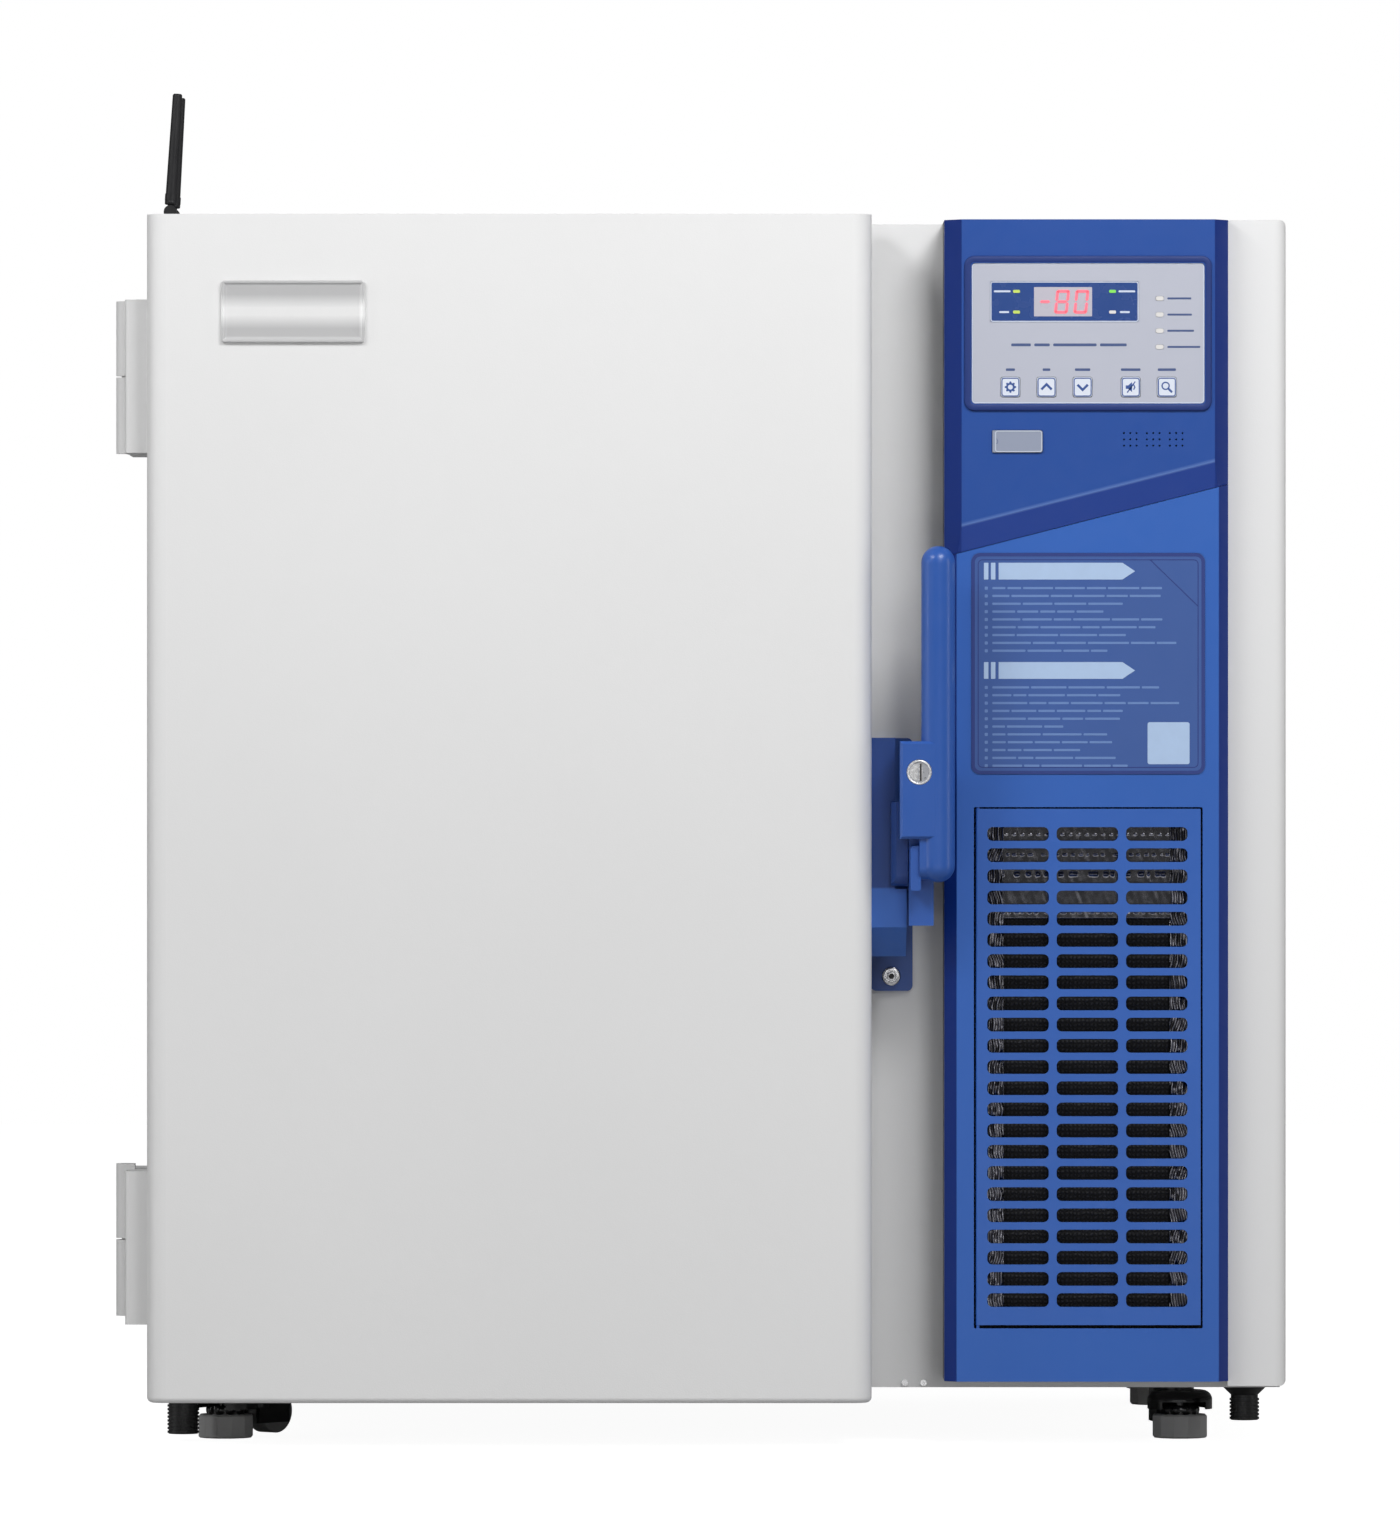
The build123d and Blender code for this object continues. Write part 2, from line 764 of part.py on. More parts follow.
# Base, casters and legs
base_top = case_bottom
bay_centre_x = (column_right + case_right) / 2
caster_spots = {
    "front_left": (case_left + caster_left_inset, case_front + caster_front_inset),
    "front_right": (case_right - caster_right_inset, case_front + caster_front_inset),
    "rear_left": (case_left + caster_left_inset, case_back - caster_back_inset),
    "rear_right": (case_right - caster_right_inset, case_back - caster_back_inset),
}
caster_angles = dict(zip(caster_spots, caster_turns))
leg_spots = {
    "left": (case_left + leg_left_inset, case_front + leg_front_inset),
    "right": (case_right - leg_right_inset, case_front + leg_front_inset),
}


def swivel_point(name):
    """Swivel axis of one caster, which trails behind its foot at the caster's own angle."""
    cx, cy = caster_spots[name]
    turn = math.radians(caster_angles[name])
    return (cx + swivel_offset * math.sin(turn), cy + swivel_offset * math.cos(turn))


def base_frame():
    """Pressed base pan with thick pads where the casters and legs are screwed in."""
    x = (case_left + skin, case_right - 2 * skin)
    y = (case_front, case_back)
    z = (base_bottom, base_top)
    pan = span_box(x, y, z)
    pan -= span_box(shrink(x, base_sheet), shrink(y, base_sheet), (z[0] - 1, z[1] - base_sheet))
    for name in caster_spots:
        cx, cy = swivel_point(name)
        pan += span_box((cx - pad_half, cx + pad_half), (cy - pad_half, cy + pad_half), z)
    for cx, cy in leg_spots.values():
        pan += span_box((cx - leg_flange_radius, cx + leg_flange_radius),
                        (cy - leg_flange_radius, cy + leg_flange_radius), z)
    pan = pan & span_box(x, y, z)
    for name in caster_spots:
        cx, cy = swivel_point(name)
        pan -= bar_z(cx, cy, (z[0] - 1, z[1] - 1), swivel_stem_radius + running_gap)
    for cx, cy in leg_spots.values():
        pan -= bar_z(cx, cy, (z[0] - 1, z[1] + 1), leg_stud_radius + running_gap)
    return pan


def turned(shape, name):
    """A caster part modelled straight ahead, turned about its foot's axis to the caster's own angle."""
    cx, cy = caster_spots[name]
    return Pos(cx, cy, 0) * Rot(0, 0, -caster_angles[name]) * Pos(-cx, -cy, 0) * shape


def caster_fork(name):
    """Swivelling caster body: hood over the foot, swivel head and two cheeks for the wheel."""
    cx, cy = caster_spots[name]
    swivel_y = cy + swivel_offset
    axle_y = swivel_y + wheel_offset
    axle_z = wheel_lift + wheel_radius
    top = base_bottom - running_gap * 10
    hood = bar_z(cx, cy, (hood_bottom, hood_top), hood_radius)
    hood = fillet(hood.edges().filter_by(GeomType.CIRCLE).sort_by(Axis.Z)[-1:], hood_round)
    hood -= bar_z(cx, cy, (hood_bottom - 1, hood_roof), hood_radius - hood_wall)
    mouth_x = (cx - mouth_half_width, cx + mouth_half_width)
    hood -= span_box(mouth_x, (cy - hood_radius - 1, cy), (hood_bottom - 1, hood_roof))
    head = bar_z(cx, swivel_y, (hood_bottom, top), 15.0)
    stem = bar_z(cx, swivel_y, (base_bottom - 1, base_top - 1.5), swivel_stem_radius)
    half = wheel_width / 2 + 1.0
    body = hood + head + stem
    roof_low = axle_z + wheel_radius + 1.0
    body += span_box((cx - half - cheek_thickness, cx + half + cheek_thickness), (swivel_y, axle_y + 14),
                     (roof_low, top))
    for side in (-1, 1):
        inner = cx + side * half
        outer = cx + side * (half + cheek_thickness)
        cheek_x = (min(inner, outer), max(inner, outer))
        body += span_box(cheek_x, (swivel_y - 4, axle_y + 8), (axle_z - 8, roof_low + 1))
    tunnel = bar_x((cx - half - 5, cx + half + 5), axle_y, axle_z, wheel_radius + 1.0)
    body -= tunnel & span_box((cx - half, cx + half), (axle_y - 30, axle_y + 30), (0, roof_low))
    body -= bar_z(cx, cy, (hood_bottom - 2, hood_roof), collar_radius + 2.0)
    body -= bar_z(cx, cy, (hood_roof - 1, hood_top - 3), screw_stem_radius + running_gap)
    body -= bar_z(cx, cy, (hood_bottom, hood_top + 1), spindle_radius + running_gap)
    axle = bar_x((cx - half - 1, cx + half + 1), axle_y, axle_z, axle_radius)
    return turned(body + axle, name)


def caster_wheel(name):
    """Roller with a bore that runs on the axle."""
    cx, cy = caster_spots[name]
    axle_y = cy + swivel_offset + wheel_offset
    axle_z = wheel_lift + wheel_radius
    half = wheel_width / 2
    wheel = bar_x((cx - half, cx + half), axle_y, axle_z, wheel_radius)
    wheel = fillet(wheel.edges().filter_by(GeomType.CIRCLE), 2.0)
    wheel -= bar_x((cx - half - 1, cx + half + 1), axle_y, axle_z, axle_radius + running_gap)
    return turned(wheel, name)


def caster_foot(name):
    """Twelve-sided screw foot with its collar, stem and spindle."""
    cx, cy = caster_spots[name]
    across = foot_across / math.cos(math.pi / foot_sides) / 2
    pad = extrude(Plane(origin=(cx, cy, 0)) * Rot(0, 0, 180 / foot_sides) * RegularPolygon(across, foot_sides),
                  amount=foot_height)
    rims = pad.faces().sort_by(Axis.Z)
    pad = chamfer(rims[0].edges() + rims[-1].edges(), foot_bevel)
    collar = bar_z(cx, cy, (foot_height - 1, foot_height + collar_height), collar_radius)
    collar = fillet(collar.edges().filter_by(GeomType.CIRCLE).sort_by(Axis.Z)[-1:], collar_height / 2)
    stem_top = hood_top - 3 - foot_lift - joint_gap
    stem = bar_z(cx, cy, (foot_height, stem_top), screw_stem_radius)
    spindle = bar_z(cx, cy, (stem_top - 1, base_bottom - foot_lift - joint_gap), spindle_radius)
    return pad + collar + stem + spindle


def levelling_leg(side):
    """Ribbed leg on a stud in the base."""
    cx, cy = leg_spots[side]
    radius = leg_radius if side == "left" else leg_right_radius
    bottom = leg_left_bottom if side == "left" else leg_right_bottom
    top = base_bottom - joint_gap
    leg = bar_z(cx, cy, (bottom, top), radius - leg_rib)
    flange = leg_flange_height if side == "right" else 0
    ribs = int((top - flange - bottom) / leg_pitch)
    for rib in range(ribs):
        low = bottom + rib * leg_pitch
        ring = Pos(cx, cy, low + leg_pitch / 2) * Cylinder(radius, leg_pitch * 0.55)
        leg += ring
    if flange:
        collar = Pos(cx, cy, top - flange / 2) * Cone(radius - leg_rib, leg_flange_radius, flange)
        leg += collar
        stud_top = base_top + 14.0
    else:
        stud_top = base_top - seat_gap
    return leg + bar_z(cx, cy, (top - 1, stud_top), leg_stud_radius)


def rear_spacers():
    """Four bumpers that hold the cabinet off the wall."""
    pieces = []
    for x in (case_left + 90.0, case_right - 90.0):
        for z in (case_bottom + 60.0, case_top - 60.0):
            bumper = face_plate((x - 35, x + 35), (case_back, case_back + spacer_depth), (z - 20, z + 20), 6.0)
            pieces.append(bumper)
    return Compound(children=pieces)


# Machine bay
cover_x = (column_right + seat_gap, case_right)
cover_z = (case_bottom - cover_drop, case_top + cover_rise)
inlet_x = case_right - inlet_inset
inlet_z = case_bottom + inlet_rise


def right_side_cover():
    """Folded cover: front return, right side and top of the machine bay."""
    y = (bay_front, case_back)
    outer = span_box(cover_x, y, cover_z)
    front_right = outer.edges().filter_by(Axis.Z).sort_by(Axis.Y)[0:2].sort_by(Axis.X)[-1:]
    outer = fillet(front_right, cover_edge_radius)
    inner_x = (cover_x[0] - 1, case_right - skin)
    inner_z = (cover_z[0] - 1, cover_z[1] - skin)
    inner = span_box(inner_x, (bay_front + skin, case_back + 1), inner_z)
    front_right = inner.edges().filter_by(Axis.Z).sort_by(Axis.Y)[0:2].sort_by(Axis.X)[-1:]
    inner = fillet(front_right, cover_edge_radius - skin)
    outer = outer & face_plate((cover_x[0] - 50, cover_x[1]), (bay_front - 1, case_back + 1), cover_z,
                               cover_corner_radius)
    inner = inner & face_plate((cover_x[0] - 50, inner_x[1]), (bay_front - 1, case_back + 2),
                               (inner_z[0] - 50, inner_z[1]), cover_corner_radius - skin)
    front_gap = span_box((cover_x[0] - 1, panel_right), (bay_front - 1, case_front), shrink(cover_z, -1))
    return outer - inner - front_gap


def bay_frame():
    """Sheet frame behind the blue front, and the fan shroud."""
    sheet = 1.5
    x = (column_right, panel_right - seat_gap)
    z = (panel_z[0], panel_z[1])
    left = span_box((x[0], x[0] + sheet), (bay_front, case_front), z)
    right = span_box((x[1] - sheet, x[1]), (bay_front, case_front), z)
    top = span_box(x, (bay_front, case_front - seat_gap), (z[1] - sheet, z[1]))
    floor = span_box(x, (bay_front, case_front - seat_gap), (z[0], z[0] + sheet))
    shelf_low = grille_opening_z()[1] + 12.0
    divider = span_box(x, (bay_front, case_front - seat_gap), (shelf_low, shelf_low + sheet))
    frame = left + right + top + floor + divider
    shroud_x = (column_right + skin + seat_gap, case_right - skin - seat_gap)
    shroud_z = (base_top + seat_gap, condenser_z[1] + 8.0)
    plate = span_box(shroud_x, (shroud_y, shroud_y + sheet), shroud_z)
    ring = bar_y(fan_x, (shroud_y, shroud_y + fan_depth), fan_z, fan_radius + 6.0)
    throat = bar_y(fan_x, (shroud_y - 1, shroud_y + fan_depth + 1), fan_z, fan_radius + 4.0)
    return Compound(children=[frame, plate + ring - throat])


def rear_grille():
    """Louvred back cover of the machine bay."""
    x = (column_right + seat_gap, case_right - skin - seat_gap)
    z = (base_top + seat_gap, cover_z[1] - skin - seat_gap)
    plate = face_plate(x, (case_back - rear_sheet, case_back), z, cover_corner_radius)
    middle = (x[0] + x[1]) / 2
    for row in range(louvre_rows):
        low = z[0] + louvre_rise + row * louvre_pitch
        for side in (-1, 1):
            centre = middle + side * 52.0
            slot_x = (centre - 42, centre + 42)
            plate -= face_plate(slot_x, (case_back - 3, case_back + 1), (low, low + louvre_height), 3.0)
    return plate


def fascia_solid(front, z):
    """Channel-shaped moulding whose flat front lies at the given depth."""
    shoulder = panel_front + bevel_left
    gone = front - panel_front
    left = column_right + bevel_left - gone
    right = panel_right - bevel_right + gone * bevel_right / bevel_left
    outer = [(column_right, bay_front), (column_right, shoulder), (left, front), (right, front),
             (panel_right, shoulder), (panel_right, bay_front)]
    t = moulding
    inner = [(column_right + t, bay_front + 1), (column_right + t, shoulder + t / 2), (left + t / 2, front + t),
             (right - t / 2, front + t), (panel_right - t, shoulder + t / 2), (panel_right - t, bay_front + 1)]
    return plan_prism(outer, z) - plan_prism(inner, shrink(z, t))


def slope_prism(points):
    """Prism along the slanted split, from points in Y and in height square to the slope."""
    slope = math.radians(split_slope)
    along = Vector(math.cos(slope), 0, math.sin(slope))
    reach = case_height
    start = Vector(column_right, 0, panel_z[1] - split_drop) - along * reach
    plane = Plane(origin=start, x_dir=(0, 1, 0), z_dir=along)
    return extrude(plane * make_face(Polyline(*points, close=True)), amount=2 * reach)


def bezel_x():
    return (column_right + bezel_left_inset, panel_right - bezel_right_inset)


def bezel_z():
    top = panel_z[1] - bezel_top_inset
    return (top - bezel_height, top)


def membrane_x():
    return shrink(bezel_x(), bezel_border)


def membrane_z():
    return shrink(bezel_z(), bezel_border)


membrane_front = panel_front - bezel_rise + membrane_sink


def window_x():
    left = membrane_x()[0] + window_left_inset
    return (left, left + window_width)


def window_z():
    top = membrane_z()[1] - window_top_inset
    return (top - window_height, top)


def flap_x():
    left = column_right + flap_left_inset
    return (left, left + flap_width)


def flap_z():
    top = bezel_z()[0] - flap_below_bezel
    return (top - flap_height, top)


def key_centres():
    """X of each key, three together and then two."""
    low, high = membrane_x()
    first = low + key_first_inset
    key_pitch = (high - key_last_inset - first - key_group_gap) / (len(key_names) - 1)
    group = [first + key_pitch * step for step in range(3)]
    second = group[-1] + key_pitch + key_group_gap
    return dict(zip(key_names, group + [second, second + key_pitch]))


def key_span(name, grow):
    """X and Z limits of one key, grown by a clearance."""
    cx = key_centres()[name]
    cz = membrane_z()[0] + key_bottom_inset
    x = (cx - key_width / 2 - grow, cx + key_width / 2 + grow)
    return x, (cz - key_height / 2 - grow, cz + key_height / 2 + grow)


def upper_fascia():
    """Upper blue moulding with its slanted lower edge, raised bezel, socket and sound holes."""
    body = fascia_solid(panel_front, panel_z)
    far = -case_height
    y = (panel_front - 5, bay_front + 5)
    body -= slope_prism([(y[0], far), (y[1], far), (y[1], seat_gap), (y[0], seat_gap)])
    body -= slope_prism([(y[0], band_height), (panel_front, band_height), (panel_front + band_depth, 0),
                         (panel_front + band_depth, -5), (y[0], -5)])
    bezel = face_plate(bezel_x(), (panel_front - bezel_rise, panel_front + 1), bezel_z(), bezel_radius)
    bezel_front = bezel.faces().sort_by(Axis.Y)[0]
    bezel = chamfer(bezel_front.edges(), 0.8)
    body += bezel
    seat_back = membrane_front + membrane_thickness
    body -= face_plate(shrink(membrane_x(), -seat_gap), (panel_front - 5, seat_back),
                       shrink(membrane_z(), -seat_gap), membrane_radius)
    lip = 3.0
    body -= face_plate(shrink(membrane_x(), lip), (panel_front - 5, panel_front + moulding + 2),
                       shrink(membrane_z(), lip), membrane_radius)
    pocket_back = panel_front + flap_sink + joint_gap
    body -= face_plate(shrink(flap_x(), -joint_gap), (panel_front - 5, pocket_back),
                       shrink(flap_z(), -joint_gap), 1.5)
    port = shrink(flap_x(), 9.0)
    body -= span_box(port, (panel_front - 5, panel_front + moulding + 2), shrink(flap_z(), 4.5))
    centre = panel_right - sound_right_inset
    level = bezel_z()[0] - sound_below_bezel
    for group in (-1, 0, 1):
        for column in (-1, 0, 1):
            for row in (-1, 0, 1):
                x = centre + group * sound_group_pitch + column * sound_hole_pitch
                body -= bar_y(x, (panel_front - 2, panel_front + moulding + 2), level + row * sound_hole_pitch,
                              sound_hole_radius)
    return body


def lower_fascia():
    """Lower blue moulding with the grille opening and the pocket of the instruction plate."""
    body = fascia_solid(lower_front, panel_z)
    far = case_height
    y = (panel_front - 5, bay_front + 5)
    body -= slope_prism([(y[0], -seat_gap), (y[1], -seat_gap), (y[1], far), (y[0], far)])
    body -= face_plate(grille_opening_x(), (panel_front, bay_front + 5), grille_opening_z(), 1.0)
    body -= face_plate(shrink(plate_span_x(), -seat_gap), (panel_front, lower_front + plate_sink),
                       shrink(plate_span_z(), -seat_gap), plate_radius)
    for z in grille_pin_spans():
        body -= bar_z(grille_axis_x, grille_axis_y, z, grille_pin_radius + running_gap)
    return body


def grille_opening_x():
    return (column_right + opening_left_inset, panel_right - opening_right_inset)


def grille_opening_z():
    return (panel_z[0] + opening_rise, plate_span_z()[0] - plate_above_grille)


def grille_span_x():
    return shrink(grille_opening_x(), grille_gap_side)


def grille_span_z():
    low, high = grille_opening_z()
    return (low + grille_gap_bottom, high - grille_gap_top)


def plate_span_x():
    return (column_right + plate_left_inset, panel_right - plate_right_inset)


def plate_span_z():
    """The plate hangs just below the slanted split, measured at its own left edge."""
    split = panel_z[1] - split_drop + plate_left_inset * math.tan(math.radians(split_slope))
    top = split - plate_below_split
    return (top - plate_height, top)


grille_axis_x = grille_span_x()[0] + grille_thickness / 2
grille_axis_y = lower_front + 0.3 + grille_thickness / 2


def grille_pin_spans():
    """Heights of the two pin bores, above and below the grille."""
    low, high = grille_opening_z()
    return ((low - grille_pin_length, low + 1), (high - 1, high + grille_pin_length))


def grille_door():
    """Hinged slotted grille with a rounded hinge edge and two pins."""
    x = grille_span_x()
    z = grille_span_z()
    y = (grille_axis_y - grille_thickness / 2, grille_axis_y + grille_thickness / 2)
    plate = span_box((grille_axis_x, x[1]), y, z)
    plate += bar_z(grille_axis_x, grille_axis_y, z, grille_thickness / 2)
    slot_rows = round((z[1] - z[0] - 2 * slot_end) / slot_pitch) + 1
    slot_width = (x[1] - x[0] - slot_left - slot_right - slot_bar * (slot_columns - 1)) / slot_columns
    for row in range(slot_rows):
        centre = z[1] - slot_end - row * slot_pitch
        for column in range(slot_columns):
            low = x[0] + slot_left + column * (slot_width + slot_bar)
            plate -= face_plate((low, low + slot_width), (y[0] - 1, y[1] + 1),
                                (centre - slot_height / 2, centre + slot_height / 2), slot_radius)
    low, high = grille_opening_z()
    plate += bar_z(grille_axis_x, grille_axis_y, (low - grille_pin_length + 0.5, z[0] + 1), grille_pin_radius)
    plate += bar_z(grille_axis_x, grille_axis_y, (z[1] - 1, high + grille_pin_length - 0.5), grille_pin_radius)
    return plate


def instruction_plate():
    """Thin printed plate, drawn without its print."""
    y = (lower_front + plate_sink - plate_thickness, lower_front + plate_sink)
    return face_plate(plate_span_x(), y, plate_span_z(), plate_radius)


def membrane_panel():
    """Control overlay with holes for the keys and lamps and a pocket for the window."""
    y = (membrane_front, membrane_front + membrane_thickness)
    plate = face_plate(membrane_x(), y, membrane_z(), membrane_radius)
    plate -= face_plate(shrink(window_x(), -seat_gap), (y[0] - 1, y[0] + window_thickness),
                        shrink(window_z(), -seat_gap), 1.5)
    for name in key_names:
        x, z = key_span(name, joint_gap)
        plate -= face_plate(x, (y[0] - 1, y[1] + 1), z, key_radius)
    for x, z in oval_spans(seat_gap):
        plate -= face_plate(x, (y[0] - 1, y[0] + 1), z, min(oval_height, oval_width) / 2 - 0.1)
    return plate


def oval_spans(grow):
    """Limits of the four round-ended lamps on the right."""
    x = membrane_x()[1] - oval_right_inset
    spans = []
    for row in range(oval_count):
        z = membrane_z()[1] - oval_top_inset - row * oval_pitch
        spans.append(((x - oval_width / 2 - grow, x + oval_width / 2 + grow),
                      (z - oval_height / 2 - grow, z + oval_height / 2 + grow)))
    return spans


def segment(corners, y):
    """Flat bar of a figure from its corners in X and Z."""
    seat = Plane(origin=(0, y[1], 0), x_dir=(1, 0, 0), z_dir=(0, -1, 0))
    return extrude(seat * make_face(Polyline(*corners, close=True)), amount=y[1] - y[0])


def figure(left, low, lit, y):
    """Seven-bar figure: lit names its bars, from a at the top round to f, and g in the middle."""
    w = digit_width
    h = digit_height
    t = digit_stroke
    gap = 0.35
    half = h / 2
    bars = {
        "a": (gap, h - t, w - gap, h),
        "d": (gap, 0, w - gap, t),
        "g": (t + gap, half - t / 2, w - t - gap, half + t / 2),
        "f": (0, half + gap, t, h - t - gap),
        "e": (0, t + gap, t, half - gap),
        "b": (w - t, half + gap, w, h - t - gap),
        "c": (w - t, t + gap, w, half - gap),
    }
    lean = math.tan(math.radians(digit_slant))
    pieces = []
    for name in lit:
        x0, z0, x1, z1 = bars[name]
        corners = [(left + x0 + lean * z0, low + z0), (left + x1 + lean * z0, low + z0),
                   (left + x1 + lean * z1, low + z1), (left + x0 + lean * z1, low + z1)]
        pieces.append(segment(corners, y))
    return pieces


def display():
    """Display window, its screen, the lit figures and all the lamps."""
    y = (membrane_front, membrane_front + window_thickness)
    x = window_x()
    z = window_z()
    window = face_plate(x, y, z, 1.5)
    middle = (z[0] + z[1]) / 2
    screen_x = (x[0] + screen_left_inset, x[0] + screen_left_inset + screen_width)
    screen_z = (middle - screen_height / 2, middle + screen_height / 2)
    window -= span_box(screen_x, (y[0] - 1, y[0] + 0.5), screen_z)
    screen = span_box(shrink(screen_x, 0.05), (y[0] + 0.1, y[0] + 0.5), shrink(screen_z, 0.05))
    pieces = [window, screen]
    lit_y = (y[0] + 0.1 - digit_rise, y[0] + 0.1)
    low = middle - digit_height / 2
    for left, lit in zip(digit_lefts, ("g", "abcdefg", "abcdef")):
        pieces += figure(screen_x[0] + left, low, lit, lit_y)
    for lamp_x in (x[0] + lamp_inset, x[1] - lamp_inset):
        for side in (-1, 1):
            lamp_z = middle + side * lamp_spread / 2
            pieces.append(span_box((lamp_x - lamp_width / 2, lamp_x + lamp_width / 2), (y[0] - 0.3, y[0]),
                                   (lamp_z - lamp_height / 2, lamp_z + lamp_height / 2)))
    for oval_x, oval_z in oval_spans(0):
        pieces.append(face_plate(oval_x, (y[0] - 0.3, y[0] + 1), oval_z, oval_height / 2 - 0.1))
    return Compound(children=pieces)


def key_cap(name):
    """One key, a cap that slides in the overlay."""
    x, z = key_span(name, 0)
    y = (membrane_front - key_rise, membrane_front - key_rise + key_depth)
    cap = face_plate(x, y, z, key_radius)
    return chamfer(cap.faces().sort_by(Axis.Y)[0].edges(), 0.3)


def control_board():
    """Circuit board behind the overlay, with switches, a sounder and the data socket."""
    key_back = membrane_front - key_rise + key_depth
    switch_front = key_back + key_travel + joint_gap
    y = (switch_front + board_gap, switch_front + board_gap + board_thickness)
    low = flap_z()[0] - 6.0
    board = span_box(shrink(bezel_x(), 6.0), y, (low, bezel_z()[1] - 6.0))
    for name in key_names:
        x, z = key_span(name, -3.5)
        board += span_box(x, (switch_front, y[0]), z)
    wall_back = panel_front + moulding
    for x in (bezel_x()[0] + 9.5, bezel_x()[1] - 9.5):
        board += bar_y(x, (wall_back, y[0]), flap_z()[0] - 2.0, 2.5)
        board += bar_y(x, (wall_back, y[0]), bezel_z()[0] - 3.0, 2.5)
    board += span_box(shrink(flap_x(), 10.0), (wall_back - 1.0, y[0]), shrink(flap_z(), 5.0))
    sounder_x = panel_right - sound_right_inset
    board += bar_y(sounder_x, (wall_back + 0.5, y[0]), bezel_z()[0] - sound_below_bezel, 9.0)
    module_x = shrink(window_x(), 28.0)
    board += span_box(module_x, (membrane_front + membrane_thickness + 0.3, y[0]), shrink(window_z(), 3.0))
    return board


def usb_cover():
    """Flap over the data socket, hinged on its rounded left edge."""
    x = flap_x()
    z = flap_z()
    y = (panel_front + flap_sink - flap_thickness, panel_front + flap_sink)
    radius = flap_thickness / 2
    slab = span_box((x[0] + radius, x[1]), y, z)
    slab = fillet(slab.edges().filter_by(Axis.Y).sort_by(Axis.X)[-2:], 1.4)
    return slab + bar_z(x[0] + radius, (y[0] + y[1]) / 2, z, radius)


# Heat exchanger, fan, compressors, electrics
condenser_x = (column_right + skin + 4.0, case_right - skin - 4.0)
condenser_z = (base_top + condenser_rise, grille_opening_z()[1] + condenser_above_opening)
filter_front = lower_front + moulding + filter_gap
condenser_front = case_front + condenser_gap
shroud_y = condenser_front + condenser_depth + shroud_gap
fan_x = (condenser_x[0] + condenser_x[1]) / 2
fan_z = (condenser_z[0] + condenser_z[1]) / 2


def condenser_filter():
    """Washable filter mat behind the grille."""
    x = shrink(grille_opening_x(), -4.0)
    z = shrink(grille_opening_z(), -4.0)
    mat = span_box(x, (filter_front, filter_front + filter_thickness), z)
    edge = 3.0
    reach = bay_front + 12.0
    for side in (x[0], x[1] - edge):
        mat += span_box((side, side + edge), (lower_front + moulding + seat_gap, reach), z)
    return mat


def condenser_coil():
    """Finned block with end plates."""
    y = (condenser_front, condenser_front + condenser_depth)
    block = span_box(condenser_x, y, condenser_z)
    span = condenser_x[1] - condenser_x[0] - 16.0
    count = int(span / fin_pitch)
    for fin in range(count):
        low = condenser_x[0] + 8.0 + fin * fin_pitch
        block -= span_box((low, low + fin_slot), (y[0] - 1, y[0] + fin_cut), shrink(condenser_z, 3.0))
    feet_x = shrink(condenser_x, 62.0)
    for x in feet_x:
        block += span_box((x - 12, x + 12), y, (base_top + seat_gap, condenser_z[0] + 1))
    return block


def fan_motor():
    """Motor with its shaft and a four-armed bracket."""
    front = shroud_y + 30.0
    motor = bar_y(fan_x, (front, front + 62), fan_z, 34.0)
    shaft = bar_y(fan_x, (shroud_y + 6, front + 1), fan_z, 3.0)
    arm = fan_radius + 12.0
    bracket_y = (shroud_y + fan_depth + seat_gap, front + 6)
    across = span_box((fan_x - arm, fan_x + arm), bracket_y, (fan_z - 5, fan_z + 5))
    upright = span_box((fan_x - 5, fan_x + 5), bracket_y, (fan_z - arm, fan_z + arm))
    return motor + shaft + across + upright


def fan_blades():
    """Hub and twisted blades on the motor shaft."""
    y = (shroud_y + 3.0, shroud_y + 21.0)
    hub = bar_y(fan_x, y, fan_z, 20.0)
    hub -= bar_y(fan_x, (y[0] + 2, y[1] + 1), fan_z, 3.0 + running_gap)
    reach = fan_radius
    for blade in range(fan_blade_count):
        turn = 360 / fan_blade_count * blade
        slab = Pos((reach + 14) / 2, 0, 0) * Rot(28, 0, 0) * Box(reach - 14, 2.0, 34.0)
        slab = slab & bar_y(0, (-9.0, 9.0), 0, reach)
        hub += Pos(fan_x, (y[0] + y[1]) / 2, fan_z) * Rot(0, turn, 0) * slab
    return hub


def compressors():
    """Two hermetic compressors, one for each cooling stage, on rubber-footed plates."""
    pieces = []
    for setback in compressor_setbacks:
        y = case_front + setback
        low = base_top + compressor_lift
        dome = bar_z(bay_centre_x, y, (low, low + compressor_height), compressor_radius)
        ends = dome.edges().filter_by(GeomType.CIRCLE)
        dome = fillet(ends, 34.0)
        plate = span_box((bay_centre_x - 88, bay_centre_x + 88), (y - 46, y + 46), (low - 2, low + 1))
        body = dome + plate
        body += bar_z(bay_centre_x, y, (low - 1, low + 20), 46.0)
        for dx in (-78, 78):
            for dy in (-36, 36):
                body += bar_z(bay_centre_x + dx, y + dy, (base_top + seat_gap, low), 9.0)
        body += span_box((bay_centre_x + compressor_radius - 14, bay_centre_x + compressor_radius + 20),
                         (y - 24, y + 24), (low + 60, low + 110))
        pieces.append(body)
    return Compound(children=pieces)


